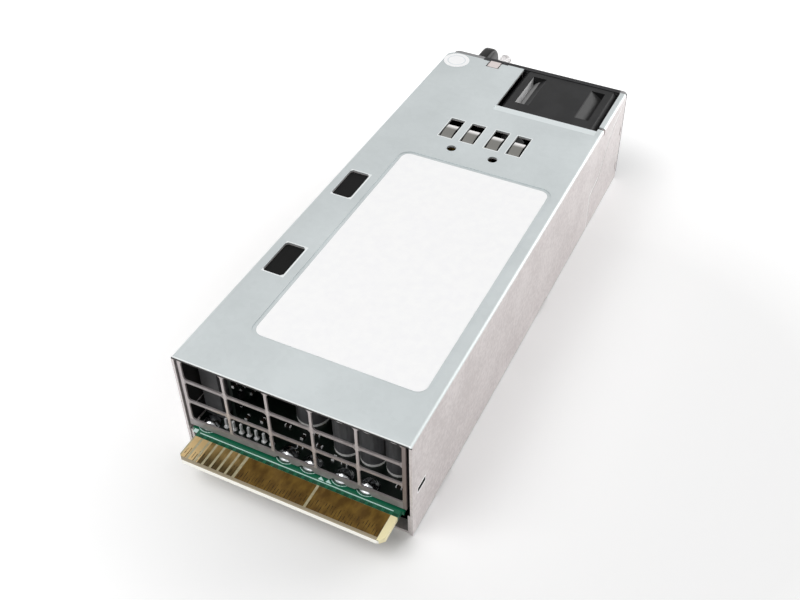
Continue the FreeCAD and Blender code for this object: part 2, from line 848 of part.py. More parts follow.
def make_rear_grille():
    """Plate with five by three windows, folded forward at both sides and at the top, notched for the solder."""
    body = new_body("rear_grille")
    pad(
        body, "XZ", "rear - grille_return", "rear",
        rect("-grille_half", "grille_low", "grille_half", "grille_top"),
    )
    pocket(
        body, "XZ", "rear - grille_return - 1", "rear - grille_sheet",
        rect("-grille_half + grille_sheet", "grille_low - 1", "grille_half - grille_sheet", "grille_top - grille_sheet"),
    )
    column = [
        clipped(
            "grille_window_left", f"grille_window_low + {row}*grille_pitch_up",
            "grille_window_left + grille_window_width",
            f"grille_window_low + {row}*grille_pitch_up + grille_window_height", "grille_round",
        )
        for row in range(SIZES["grille_rows"])
    ]
    windows = pocket(body, "XZ", "rear - grille_sheet - 0.1", "rear", *column)
    repeat(body, windows, "grille_pitch_across", "grille_columns")
    notches = [
        poly(
            (f"{x} - grille_notch_width/2", "grille_low - 1"), (f"{x} + grille_notch_width/2", "grille_low - 1"),
            (f"{x} + grille_notch_width/2", "grille_low"),
            (f"{x} + grille_notch_width/2 - grille_notch_height", "grille_low + grille_notch_height"),
            (f"{x} - grille_notch_width/2 + grille_notch_height", "grille_low + grille_notch_height"),
            (f"{x} - grille_notch_width/2", "grille_low"),
        )
        for x in MOUNDS
    ]
    pocket(body, "XZ", "rear - grille_sheet - 0.1", "rear", *notches)
    pocket(
        body, "YZ", "-grille_half", "grille_half",
        rect(
            "lance_along - lance_length/2 - 0.4", "lance_high - lance_width/2 - 0.2",
            "lance_along + lance_length/2 + 0.4", "lance_high + lance_width/2 + 0.2",
        ),
    )
    return node(body, "rear_grille")


# ---------------------------------------------------------------- front end

def make_front_panel():
    """Moulded panel with the fan and inlet openings, snap arms and the lever slot."""
    body = new_body("front_panel")
    pad(
        body, "XZ", "front", "panel_back",
        rect("-half + panel_inset", "panel_inset", "half - panel_inset", "body_height - panel_inset"),
    )
    dress(
        body, "Fillet", lambda e: runs_along(e, 1) and (middle(e).x < 0 or middle(e).z < SIZES["body_height"]/2),
        Radius="panel_round",
    )
    dress(
        body, "Fillet",
        lambda e: runs_along(e, 1) and middle(e).z > SIZES["body_height"] - SIZES["panel_inset"] - 0.01
        and middle(e).x > SIZES["body_width"]/2 - SIZES["panel_inset"] - 0.01,
        Radius="panel_corner",
    )
    arms = [
        rect(low, f"{z} - arm_height/2", f"{low} + arm_thick", f"{z} + arm_height/2")
        for side, low in (("right", "-wall_in + arm_gap/2"), ("left", "wall_in - arm_gap/2 - arm_thick"))
        for z in ("hook_low_" + side, "hook_high_" + side)
    ]
    pad(body, "XZ", "panel_back - 0.1", "panel_back + arm_length", *arms)
    pad(body, "YZ", "-wall_in - hook_reach", "-wall_in + arm_gap", *hook_slits("right", "hook_play"))
    pad(body, "YZ", "wall_in - arm_gap", "wall_in + hook_reach - 0.1", *hook_slits("left", "hook_play"))
    pocket(
        body, "XZ", "panel_back - guard_thick", "panel_back",
        rect(
            "fan_x - guard_side/2 - fit_gap", "fan_z - guard_side/2 - fit_gap",
            "fan_x + guard_side/2 + fit_gap", "fan_z + guard_side/2 + fit_gap",
        ),
    )
    openings = [
        circle("fan_x", "fan_z", "guard_radius"),
        circle("pipe_across", "pipe_up", "pipe_radius + fit_gap"),
        rect(
            "inlet_across - inlet_width/2 - inlet_clear", "inlet_up - inlet_height/2 - inlet_clear",
            "inlet_across + inlet_width/2 + inlet_clear", "inlet_up + inlet_height/2 + inlet_clear",
        ),
        rect("lever_in - lever_sweep", "lever_low - 0.5", "wall_in", "lever_top + 0.5"),
        even("handle_middle", "handle_low_screw", "screw_hole_radius"),
        even("handle_middle", "handle_high_screw", "screw_hole_radius"),
    ]
    corners = [
        even(f"fan_x + {i}*fan_screw_pitch/2", f"fan_z + {j}*fan_screw_pitch/2", "screw_hole_radius")
        for i in (-1, 1) for j in (-1, 1)
    ]
    pocket(body, "XZ", "front", "panel_back + 0.1", *openings, *corners)
    return node(body, "front_panel")


def make_finger_guard():
    """Thin steel plate with a honeycomb of six-sided holes, framed by a plain border."""
    body = new_body("finger_guard")
    low, high = "panel_back - guard_thick", "panel_back"
    pad(
        body, "XZ", low, high,
        rect(
            "fan_x - guard_side/2", "fan_z - guard_side/2", "fan_x + guard_side/2", "fan_z + guard_side/2",
        ),
    )
    rise = "hex_pitch*0.866025"
    for shift in (0, 1):
        start_x = f"fan_x - (hex_columns - 1 - {shift})/2*hex_pitch"
        start_z = f"fan_z - (hex_columns - 1 - {2*shift})/2*{rise}"
        cells = [
            poly(*[
                (f"{start_x} + hex_flats*{math.sin(k*math.pi/3)/math.sqrt(3):.6f}",
                 f"{start_z} + {2*row}*{rise} + hex_flats*{math.cos(k*math.pi/3)/math.sqrt(3):.6f}")
                for k in range(6)
            ])
            for row in range((SIZES["hex_columns"] + 1)//2 - shift)
        ]
        repeat(body, pocket(body, "XZ", low, high, *cells), "hex_pitch", f"hex_columns - {shift}")
    border = make_sketch(body, "XZ", high, [
        rect(
            "fan_x - guard_side/2", "fan_z - guard_side/2", "fan_x + guard_side/2", "fan_z + guard_side/2",
        ),
        circle("fan_x", "fan_z", "guard_radius - 0.4"),
    ])
    frame = body.newObject("PartDesign::Pad", "finger_guard_border")
    frame.Profile = border
    frame.setExpression("Length", formula("guard_thick"))
    holes = [
        even(f"fan_x + {i}*fan_screw_pitch/2", f"fan_z + {j}*fan_screw_pitch/2", "screw_hole_radius")
        for i in (-1, 1) for j in (-1, 1)
    ]
    pocket(body, "XZ", low, high, *holes)
    return node(body, "finger_guard")


def make_fan_frame():
    """Square flanges at both ends, a round duct between them, corner posts and the motor spider."""
    left, low = "fan_x - fan_size/2", "fan_z - fan_size/2"
    right, high = "fan_x + fan_size/2", "fan_z + fan_size/2"
    duct = FreeCAD.ActiveDocument.addObject("Part::Common", "duct")
    duct.Base = rod("Y", "fan_x", "panel_back + fan_flange/2", "fan_z", "fan_duct_radius", "fan_depth - fan_flange")
    duct.Tool = block(left, "panel_back", low, right, "fan_back", high)
    flanges = [
        block(left, "panel_back", low, right, "panel_back + fan_flange", high),
        block(left, "fan_back - fan_flange_rear", low, right, "fan_back", high),
    ]
    posts = [
        block(
            left if i < 0 else f"{right} - fan_post", "panel_back", low if j < 0 else f"{high} - fan_post",
            f"{left} + fan_post" if i < 0 else right, "fan_back", f"{low} + fan_post" if j < 0 else high,
        )
        for i in (-1, 1) for j in (-1, 1)
    ]
    walls = soften(
        join(duct, *flanges, *posts),
        lambda e: runs_along(e, 1) and e.Length > SIZES["fan_depth"] - 0.1,
        SIZES["fan_corner_round"], "Part::Chamfer",
    )
    holes = [
        rod(
            "Y", f"fan_x + {i}*fan_screw_pitch/2", "panel_back", f"fan_z + {j}*fan_screw_pitch/2",
            "thread_radius", "fan_depth", 8,
        )
        for i in (-1, 1) for j in (-1, 1)
    ]
    shell = minus(walls, rod("Y", "fan_x", "panel_back", "fan_z", "fan_bore_radius", "fan_depth"), *holes)
    return node(join(shell, make_spider()), "fan_frame")


def make_spider():
    """Motor plate, bearing tube and radial struts at the outlet end of the fan."""
    plate = rod("Y", "fan_x", "fan_back - strut_depth", "fan_z", "hub_radius", "strut_depth")
    tube = ring(
        "Y", "fan_x", "fan_back - strut_depth - stator_length - 1.5", "fan_z",
        "bearing_radius + bearing_tube_wall", "bearing_radius + fit_gap", "stator_length + 1.5", 16,
    )
    struts = []
    for k in range(int(SIZES["strut_count"])):
        strut = FreeCAD.ActiveDocument.addObject("Part::Box", "strut")
        bind(strut, Length="fan_bore_radius + fan_duct_over/2 - hub_radius/2", Width="strut_depth", Height="strut_width")
        turn = FreeCAD.Rotation(FreeCAD.Vector(0, 1, 0), 45 + 90*k)
        offset = turn.multVec(FreeCAD.Vector(SIZES["hub_radius"]/2, 0, -SIZES["strut_width"]/2))
        strut.Placement.Rotation = turn
        place(strut, f"fan_x + {offset.x}", "fan_back - strut_depth", f"fan_z + {offset.z}")
        struts.append(strut)
    return join(plate, tube, *struts)


def make_fan_rotor():
    """Cup-shaped hub with twisted blades; modelled about its own axis and moved to the fan."""
    body = new_body("fan_rotor")
    place(body, "fan_x", "panel_back + fan_flange/2 + 0.6", "fan_z")
    pad(body, "XZ", "0", "hub_length", circle("0", "0", "hub_radius"))
    dress(
        body, "Chamfer",
        lambda e: e.Curve.TypeId == "Part::GeomCircle" and middle(e).y < 0.01,
        Size="hub_wall",
    )
    pocket(body, "XZ", "hub_wall*1.5", "hub_length + 0.1", circle("0", "0", "hub_radius - hub_wall"))
    pad(body, "XZ", "hub_wall", "hub_wall + 2", even("0", "0", "shaft_radius + 1", 12))
    pocket(body, "XZ", "0.6", "hub_length", even("0", "0", "shaft_radius", 12))
    sections = [
        blade_section(body, "hub_radius - hub_wall/2", "blade_root_angle"),
        blade_section(body, "blade_reach", "blade_tip_angle"),
    ]
    blade = body.newObject("PartDesign::AdditiveLoft", "blade")
    blade.Profile = sections[0]
    blade.Sections = sections[1:]
    blade.Ruled = True
    turned = body.newObject("PartDesign::PolarPattern", "blades")
    turned.Originals = [blade]
    axis = next(f for f in body.Origin.OriginFeatures if f.Role == "Y_Axis")
    turned.Axis = (axis, [""])
    turned.Angle = 360.0
    bind(turned, Occurrences="blade_count")
    body.Tip = turned
    return node(body, "fan_rotor")


def blade_section(body, level, angle):
    """A thin four-sided blade section, square to the blade, at one radius from the axis."""
    profile = [(-0.5, 0.0), (-0.1, 0.5), (0.5, 0.0), (-0.1, -0.35)]
    centre = "hub_length*0.52"
    corners = [
        (
            f"{centre} + {along}*blade_chord*cos({angle}) - {across}*blade_thick*sin({angle})",
            f"{along}*blade_chord*sin({angle}) + {across}*blade_thick*cos({angle})",
        )
        for along, across in profile
    ]
    return make_sketch(body, "YZ", level, [poly(*corners)])


def make_fan_motor():
    """Shaft pressed in the hub, two bearings in the tube, and the wound stator round it."""
    start = "panel_back + fan_flange/2 + 0.6 + 0.6"
    length = "fan_back - strut_depth - 0.3 - panel_back - fan_flange/2 - 1.2"
    node(rod("Y", "fan_x", start, "fan_z", "shaft_radius", length, 12), "fan_shaft")
    tube_front = "fan_back - strut_depth - stator_length - 1.5"
    bearings = [
        ring("Y", "fan_x", y, "fan_z", "bearing_radius", "shaft_radius + fit_gap", "bearing_width", 16)
        for y in (f"{tube_front} + 0.3", "fan_back - strut_depth - bearing_width")
    ]
    node(group(*bearings), "fan_bearings")
    core = ring(
        "Y", "fan_x", "fan_back - strut_depth - stator_length", "fan_z",
        "stator_radius", "bearing_radius + bearing_tube_wall + fit_gap", "stator_length - 1", 16,
    )
    slots = [turned_slot(k, 4) for k in range(4)]
    return node(minus(core, *slots), "fan_stator")


def turned_slot(index, count):
    """One of the slots between the stator's poles."""
    slot = FreeCAD.ActiveDocument.addObject("Part::Box", "slot")
    bind(slot, Length="stator_radius", Width="stator_length", Height="1.4")
    turn = FreeCAD.Rotation(FreeCAD.Vector(0, 1, 0), 360.0*index/count)
    offset = turn.multVec(FreeCAD.Vector(SIZES["bearing_radius"] + SIZES["bearing_tube_wall"] + 1.2, 0, -0.7))
    slot.Placement.Rotation = turn
    return place(slot, f"fan_x + {offset.x}", "fan_back - strut_depth - stator_length - 0.5", f"fan_z + {offset.z}")


def make_fan_screws():
    """Four screws through the panel and the guard into the fan frame."""
    screws = []
    for i in (-1, 1):
        for j in (-1, 1):
            x, z = f"fan_x + {i}*fan_screw_pitch/2", f"fan_z + {j}*fan_screw_pitch/2"
            head = rod("Y", x, "front - fan_screw_head", z, "fan_screw_head_radius", "fan_screw_head", 12)
            shank = rod("Y", x, "front - 0.1", z, "screw_radius", "fan_screw_length", 8)
            screws.append(join(head, shank))
    return node(group(*screws), "fan_screws")


def make_inlet():
    """Mains inlet: housing with a chamfered cavity, and three flat pins through its floor."""
    body = new_body("inlet_housing")
    left, low = "inlet_across - inlet_width/2", "inlet_up - inlet_height/2"
    pad(
        body, "XZ", "inlet_mouth", "inlet_end",
        rect(left, low, f"{left} + inlet_width", f"{low} + inlet_height"),
    )
    dress(body, "Chamfer", lambda e: runs_along(e, 1), Size="0.8")
    x0, x1 = "inlet_across - inlet_cavity_width/2", "inlet_across + inlet_cavity_width/2"
    z0, z1 = "inlet_up - inlet_cavity_height/2", "inlet_up + inlet_cavity_height/2"
    pocket(
        body, "XZ", "inlet_mouth", "inlet_floor",
        poly(
            (x0, z0), (f"{x1} - inlet_chamfer", z0), (x1, f"{z0} + inlet_chamfer"),
            (x1, f"{z1} - inlet_chamfer"), (f"{x1} - inlet_chamfer", z1), (x0, z1),
        ),
    )
    pocket(body, "XZ", "inlet_floor - 0.1", "inlet_end + 0.1", *pin_outlines())
    node(body, "inlet_housing")
    pins = new_body("inlet_pins")
    pins.AllowCompound = True
    pad(pins, "XZ", "inlet_mouth + pin_set_in", "inlet_end + pin_tail", *pin_outlines())
    tip = -SIZES["body_length"]/2 + SIZES["inlet_recess"] + SIZES["pin_set_in"]
    dress(pins, "Chamfer", lambda e: abs(middle(e).y - tip) < 0.01, Size="0.5")
    return node(pins, "inlet_pins")


def pin_outlines():
    """Cross-sections of the line, neutral and earth pins."""
    places = [
        ("inlet_across - pin_offset", "inlet_up + pin_pitch"),
        ("inlet_across - pin_offset", "inlet_up - pin_pitch"),
        ("inlet_across + pin_offset", "inlet_up"),
    ]
    return [
        rect(f"{x} - pin_wide/2", f"{z} - pin_thin/2", f"{x} + pin_wide/2", f"{z} + pin_thin/2")
        for x, z in places
    ]


def make_inlet_bracket():
    """Steel plate behind the panel that holds the inlet, the handle and the cover's front edge."""
    body = new_body("inlet_bracket")
    pad(
        body, "XZ", "bracket_front", "bracket_back",
        rect("bracket_right", "sheet", "bracket_left", "wall_top - 0.1"),
    )
    pad(
        body, "XZ", "bracket_back - 0.1", "bracket_back + bracket_foot",
        rect("bracket_right", "sheet", "bracket_left", "2*sheet"),
    )
    pad(
        body, "XZ", "bracket_front", "bracket_back",
        rect("tab_slot_right + tab_gap", "wall_top - 0.2", "tab_slot_left - tab_gap", "body_height - 0.1"),
    )
    pad(
        body, "XZ", "bracket_back - 0.1", "tab_slot_near - tab_gap",
        rect("tab_slot_right + tab_gap", "body_height - 0.1 - sheet", "tab_slot_left - tab_gap", "body_height - 0.1"),
    )
    pocket(
        body, "XZ", "bracket_front", "bracket_back + 0.1",
        rect(
            "inlet_across - inlet_width/2 - fit_gap", "inlet_up - inlet_height/2 - fit_gap",
            "inlet_across + inlet_width/2 + fit_gap", "inlet_up + inlet_height/2 + fit_gap",
        ),
        circle("pipe_across", "pipe_up", "pipe_radius + fit_gap"),
        even("handle_middle", "handle_low_screw", "screw_hole_radius"),
        even("handle_middle", "handle_high_screw", "screw_hole_radius"),
    )
    return node(body, "inlet_bracket")


def make_handle():
    """D-shaped pull handle with bevelled edges and two blind screw holes in its feet."""
    body = new_body("pull_handle")
    pad(
        body, "YZ", "handle_right", "handle_left",
        rect("handle_tip", "handle_bottom", "front", "handle_top"),
    )
    tip = -SIZES["body_length"]/2 - SIZES["handle_reach"]
    dress(
        body, "Fillet", lambda e: runs_along(e, 0) and abs(middle(e).y - tip) < 0.01, Radius="handle_round",
    )
    pocket(
        body, "YZ", "handle_right", "handle_left",
        rect("handle_tip + handle_bar", "handle_bottom + handle_bar + 1.2", "front + 1", "handle_top - handle_bar - 1.2"),
    )
    inner = tip + SIZES["handle_bar"]
    dress(
        body, "Fillet", lambda e: runs_along(e, 0) and abs(middle(e).y - inner) < 0.01,
        Radius="handle_inner_round",
    )
    root = -SIZES["body_length"]/2
    dress(
        body, "Chamfer",
        lambda e: e.BoundBox.XLength < 1e-6 and middle(e).y < root - 0.01,
        Size="handle_edge",
    )
    pocket(
        body, "XZ", "front - handle_screw_length + 0.5", "front",
        even("handle_middle", "handle_low_screw", "thread_radius"),
        even("handle_middle", "handle_high_screw", "thread_radius"),
    )
    node(body, "pull_handle")
    screws = []
    for z in ("handle_low_screw", "handle_high_screw"):
        head = rod("Y", "handle_middle", "bracket_back", z, "fan_screw_head_radius*0.9", "fan_screw_head", 12)
        shank = rod(
            "Y", "handle_middle", "front - handle_screw_length + 1", z, "screw_radius",
            "handle_screw_length - 1 + panel_thick + sheet + 0.1", 8,
        )
        screws.append(join(head, shank))
    return node(group(*screws), "handle_screws")


def make_status_light():
    """Clear light pipe with a bevelled nose, and the small lamp board behind it."""
    body = new_body("light_pipe")
    body.Placement.Rotation = FreeCAD.Rotation(FreeCAD.Vector(1, 0, 0), 90)
    place(body, "pipe_across", "bracket_back + pipe_tail", "pipe_up")
    length = "pipe_reach + panel_thick + sheet + pipe_tail"
    pad(body, "XY", "0", length, circle("0", "0", "pipe_radius"))
    dress(
        body, "Chamfer",
        lambda e: e.Curve.TypeId == "Part::GeomCircle" and middle(e).z > 5,
        Size="pipe_nose",
    )
    node(body, "light_pipe")
    y = "bracket_back + pipe_tail + 2.2"
    base = "inlet_up + inlet_height/2"
    board = block("pipe_across - 5", y, base, "pipe_across + 5", f"{y} + lamp_board", "wall_top - 0.6")
    lamp = block("pipe_across - 1.5", f"{y} - 2", "pipe_up - 1.2", "pipe_across + 1.5", y, "pipe_up + 1.2")
    return node(join(board, lamp), "status_lamp")


# ---------------------------------------------------------------- release lever

def make_release_lever():
    """Flat steel lever with a rolled eye at its pivot and a ramped tooth that locks the module."""
    body = new_body("release_lever")
    pad(body, "XY", "lever_low", "lever_top", rect("lever_in", "lever_nose", "lever_out", "pivot_along"))
    pad(body, "XY", "lever_low", "lever_top", circle("pivot_x", "pivot_along", "eye_radius"))
    pocket(
        body, "XY", "lever_low", "lever_top",
        circle("pivot_x", "pivot_along", "pivot_radius + pivot_clear"),
    )
    pad(
        body, "XY", "lever_low + 1", "lever_top - 1",
        poly(
            ("lever_out - 0.3", "tooth_front"), ("tooth_tip", "tooth_front"),
            ("tooth_tip", "tooth_front + tooth_land"), ("lever_out - 0.3", "tooth_rear"),
        ),
    )
    return node(body, "release_lever")


def make_thumb_tab():
    """Moulded thumb piece on the lever's nose, flared and ribbed for the thumb."""
    body = new_body("thumb_tab")
    near = "lever_nose + 4.5"
    inner = "lever_in - 0.7"
    pad(
        body, "XY", "lever_low - thumb_margin", "lever_top + thumb_margin",
        poly(
            (inner, near), (f"{inner} + thumb_thick - 0.6", near),
            (f"{inner} + thumb_thick", f"{near} - thumb_length + 3"), (f"{inner} + thumb_thick - 0.8", f"{near} - thumb_length"),
            (inner, f"{near} - thumb_length"),
        ),
    )
    reach = SIZES["lever_nose"] + 4.5 - SIZES["thumb_length"]
    dress(body, "Fillet", lambda e: runs_along(e, 0) and abs(middle(e).y - reach) < 0.01, Radius="2.5")
    ribs = [
        rect(
            f"{near} - thumb_length + {3 + 2*k}", "lever_low + 0.6",
            f"{near} - thumb_length + {4 + 2*k}", "lever_top - 0.6",
        )
        for k in range(4)
    ]
    pocket(body, "YZ", f"{inner} + thumb_thick - 0.5", "half", *ribs)
    pocket(body, "XY", "lever_low", "lever_top", rect("lever_in", "lever_nose", "lever_out", f"{near} + 0.1"))
    return node(body, "thumb_tab")


def make_pivot_pin():
    """Shouldered pin that stands on the floor and carries the lever's eye."""
    x, y, foot = "pivot_x", "pivot_along", "eye_radius - 0.1"
    shoulder = rod("Z", x, y, "sheet", foot, "lever_low - sheet - 0.1", 12)
    neck = rod("Z", x, y, "lever_low - 0.2", "pivot_radius", "lever_height + 0.4", 12)
    cap = rod("Z", x, y, "lever_top + 0.1", foot, "0.8", 12)
    return node(join(shoulder, neck, cap), "pivot_pin")


def make_lever_spring():
    """Bowed leaf spring: its ends rest on the ear of the base, its crown presses the lever."""
    curves = []
    for radius in ("leaf_radius", "leaf_radius - leaf_thick"):
        curve = FreeCAD.ActiveDocument.addObject("Part::Cylinder", "bow")
        curve.Placement.Rotation = FreeCAD.Rotation(FreeCAD.Vector(0, 0, 1), -SIZES["leaf_angle"]/2)
        bind(curve, Radius=radius, Height="leaf_width", Angle="leaf_angle")
        curves.append(place(
            curve, "lever_in - fit_gap - leaf_radius", "spring_along", "lever_low + (lever_height - leaf_width)/2",
        ))
    return node(minus(*curves), "lever_spring")


# ---------------------------------------------------------------- boards and contacts

def make_main_board():
    """Main board, narrow beside the lever, with the bevelled card edge tongue."""
    body = new_body("main_board")
    pad(
        body, "XY", "board_under", "board_top",
        poly(
            ("-board_half", "board_front"), ("board_narrow", "board_front"), ("board_narrow", "board_step"),
            ("board_half", "board_step"), ("board_half", "board_shoulder"), ("tongue_left", "board_shoulder"),
            ("tongue_left", "tongue_end"), ("tongue_right", "tongue_end"), ("tongue_right", "board_shoulder"),
            ("-board_half", "board_shoulder"),
        ),
    )
    end = SIZES["body_length"]/2 + SIZES["tongue_reach"]
    dress(
        body, "Chamfer", lambda e: runs_along(e, 2) and abs(middle(e).y - end) < 0.01, Size="tongue_chamfer",
    )
    dress(
        body, "Chamfer", lambda e: runs_along(e, 0) and abs(middle(e).y - end) < 0.01, Size="tongue_bevel",
    )
    holes = [even(x, y, "screw_hole_radius") for x, y in standoff_places()]
    pocket(body, "XY", "board_under", "board_top", *holes)
    return node(body, "main_board")


def standoff_places():
    """Centres of the four standoffs."""
    return [
        ("-standoff_x", "board_front + standoff_inset"), ("board_narrow - standoff_inset", "board_front + standoff_inset"),
        ("-standoff_x", "board_shoulder - 7.5*standoff_inset"), ("standoff_x - 0.5", "board_step + standoff_inset"),
    ]


def make_board_fixings():
    """Six-sided standoffs on the floor, board screws in them, and the film under the board."""
    standoffs, screws = [], []
    for x, y in standoff_places():
        standoffs.append(minus(
            rod("Z", x, y, "sheet", "standoff_radius", "board_under - sheet", 6),
            rod("Z", x, y, "sheet", "thread_radius", "board_under - sheet", 8),
        ))
        head = rod("Z", x, y, "board_top", "fan_screw_head_radius", "fan_screw_head", 12)
        shank = rod("Z", x, y, "board_top - 6", "screw_radius", "6.1", 8)
        screws.append(join(head, shank))
    node(group(*standoffs), "board_standoffs")
    node(group(*screws), "board_screws")
    film = new_body("base_insulator")
    pad(
        film, "XY", "sheet", "sheet + film_thick",
        poly(
            ("-board_half + 0.4", "board_front + 1"), ("board_narrow - 0.4", "board_front + 1"),
            ("board_narrow - 0.4", "board_step"), ("board_half - 0.4", "board_step"),
            ("board_half - 0.4", "board_shoulder - 4"), ("-board_half + 0.4", "board_shoulder - 4"),
        ),
    )
    holes = [even(x, y, "standoff_radius + 0.4", 6) for x, y in standoff_places()]
    pocket(film, "XY", "sheet", "sheet + film_thick + 0.1", *holes)
    return node(film, "base_insulator")


def make_contacts():
    """Gilded signal and power contacts on both faces of the tongue."""
    faces = (("board_top", "board_top + contact_thick"), ("board_under - contact_thick", "board_under"))
    signals = [
        block(
            f"contact_first - {k}*contact_pitch - contact_width/2", "contact_far", low,
            f"contact_first - {k}*contact_pitch + contact_width/2", "contact_near", high,
        )
        for k in range(int(SIZES["signal_count"])) for low, high in faces
    ]
    node(group(*signals), "signal_contacts")
    powers = [
        block(f"{left} - power_width", "contact_far", low, left, "contact_near", high)
        for left in ("power_first", "power_second") for low, high in faces
    ]
    return node(group(*powers), "power_contacts")


def make_output_details():
    """Solder mounds along the rear edge of the board and the row of header pins beside them."""
    mounds = []
    for x in (*MOUNDS, "30.2"):
        mound = rod("Z", x, "mound_along", "board_top", "mound_radius", "mound_height", 14)
        FreeCAD.ActiveDocument.recompute()
        top = mound.Shape.BoundBox.ZMax
        mounds.append(soften(mound, lambda e: middle(e).z > top - 0.01, 1.2, "Part::Chamfer"))
    node(group(*mounds), "solder_mounds")
    pins = [
        block(
            f"header_first - {k}*contact_pitch - header_pin/2", "header_along - header_pin/2", "board_top",
            f"header_first - {k}*contact_pitch + header_pin/2", "header_along + header_pin/2",
            "board_top + header_height",
        )
        for k in range(int(SIZES["signal_count"]))
    ]
    return node(group(*pins), "header_pins")


def can(x, y, radius, height, sides=0):
    """An upright capacitor can with a bevelled top edge."""
    body = rod("Z", x, y, "board_top", radius, height, sides)
    FreeCAD.ActiveDocument.recompute()
    top = body.Shape.BoundBox.ZMax
    return soften(body, lambda e: e.BoundBox.ZMin > top - 0.01, SIZES["can_edge"], "Part::Chamfer")


def make_capacitors():
    """Output cans near the grille, one larger can, and the lying bulk capacitor."""
    cans = [
        can(f"can_first + {i}*can_pitch", f"can_along - {j}*can_row_gap", "can_radius", "can_height", 24)
        for j in (0, 1) for i in range(3)
    ]
    node(group(*cans), "output_capacitors")
    node(can("large_can_across", "large_can_along", "large_can_radius", "can_height + 5"), "filter_capacitor")
    z = "board_top + bulk_radius + 0.2"
    shell = rod("Y", "bulk_across", "bulk_front", z, "bulk_radius", "bulk_length")
    bevelled = soften(shell, lambda e: e.Curve.TypeId == "Part::GeomCircle", SIZES["bulk_edge"], "Part::Chamfer")
    return node(bevelled, "bulk_capacitor")


def make_control_card():
    """Upright control card beside the left wall, with the small parts of both faces."""
    x0, x1 = "card_across", "card_across + card_thick"
    card = block(x0, "card_front", "board_top", x1, "card_front + card_length", "board_top + card_height")
    node(card, "control_card")
    sizes = [(30, 6, 5, 5, 1.4), (33, 14, 3, 2, 1.0), (38, 5, 2, 3, 0.9), (37, 11, 3, 1.6, 0.8), (34, 19, 4, 3, 1.0),
             (25, 17, 6, 4, 1.3), (20, 8, 5, 6, 1.6), (12, 14, 7, 7, 1.5), (39, 16, 1.6, 2.4, 0.8), (6, 6, 4, 4, 1.2)]
    parts = [
        block(
            f"{x0} - {thick}", f"card_front + {along}", f"board_top + {up}",
            x0, f"card_front + {along + width}", f"board_top + {up + height}",
        )
        for along, up, width, height, thick in sizes
    ]
    node(group(*parts), "control_card_parts")
    cover = block("board_half - 6.6", "70", "board_top", "board_half - 0.6", "86.4", "body_height - 6")
    FreeCAD.ActiveDocument.recompute()
    top = cover.Shape.BoundBox.ZMax
    return node(soften(cover, lambda e: middle(e).z > top - 0.1, 1.0, "Part::Chamfer"), "output_relay")


# ---------------------------------------------------------------- power stage

def make_power_stage():
    """Heatsink with fins and the transistors screwed to its face."""
    x1 = "sink_across"
    top = "board_top + sink_height"
    plate = block(f"{x1} - sink_thick", "sink_front", "board_top", x1, "sink_front + sink_length", top)
    flange = block(x1, "sink_front", f"{top} - fin_width", f"{x1} + fin_reach", "sink_front + sink_length", top)
    node(join(plate, flange), "transistor_heatsink")
    devices = []
    for k in range(2):
        y = f"sink_front + 4 + {k}*(device_width + 6)"
        case = block(
            x1, y, "board_top + device_lift", f"{x1} + device_thick", f"{y} + device_width",
            "board_top + device_lift + device_height - 4",
        )
        leads = [
            block(
                f"{x1} + device_thick/2 - 0.3", f"{y} + device_width/2 + {step}*5.45 - 0.6", "board_top",
                f"{x1} + device_thick/2 + 0.3", f"{y} + device_width/2 + {step}*5.45 + 0.6",
                "board_top + device_lift + 0.1",
            )
            for step in (-1, 0, 1)
        ]
        devices.append(join(case, *leads))
    return node(group(*devices), "power_transistors")


def wound_ring(x, y, name, turns, radius="choke_radius"):
    """A toroid choke lying on the board: ring core, and a winding of separate turns around it."""
    z = "board_top + choke_wire + 0.1"
    core = ring("Z", x, y, z, f"{radius} - choke_wire", "choke_bore + choke_wire", "choke_height - 2*choke_wire", 24)
    node(core, name + "_core")
    loops = []
    for k in range(turns):
        span = block(
            "choke_bore", "-choke_wire*0.45", "board_top",
            radius, "choke_wire*0.45", "board_top + choke_height + 0.2",
        )
        gap = block(
            "choke_bore + choke_wire - 0.1", "-choke_wire", f"{z} - 0.1",
            f"{radius} - choke_wire + 0.1", "choke_wire", "board_top + choke_height - choke_wire + 0.2",
        )
        loop = minus(span, gap)
        angle = 360.0*k/turns
        loop.Placement.Rotation = FreeCAD.Rotation(FreeCAD.Vector(0, 0, 1), angle)
        loops.append(place(loop, x, y, "0"))
    return node(group(*loops), name + "_winding")


def make_transformer():
    """Ferrite core of two plates, two legs and a round middle leg, with its winding."""
    x0, x1 = "core_across - core_width/2", "core_across + core_width/2"
    y0, y1 = "core_front", "core_front + core_length"
    z0, z1 = "board_top", "board_top + core_height"
    plates = [
        block(x0, y0, z0, x1, y1, f"{z0} + core_plate"),
        block(x0, y0, f"{z1} - core_plate", x1, y1, z1),
    ]
    legs = [
        block(x0, y0, z0, f"{x0} + core_leg", y1, z1),
        block(f"{x1} - core_leg", y0, z0, x1, y1, z1),
    ]
    centre_y = "core_front + core_length/2"
    leg = rod("Z", "core_across", centre_y, z0, "6", "core_height", 16)
    node(join(*plates, *legs, leg), "transformer_core")
    winding = ring(
        "Z", "core_across", centre_y, f"{z0} + core_plate + 0.3", "11.4", "6.4",
        "core_height - 2*core_plate - 0.6", 20,
    )
    return node(winding, "transformer_winding")


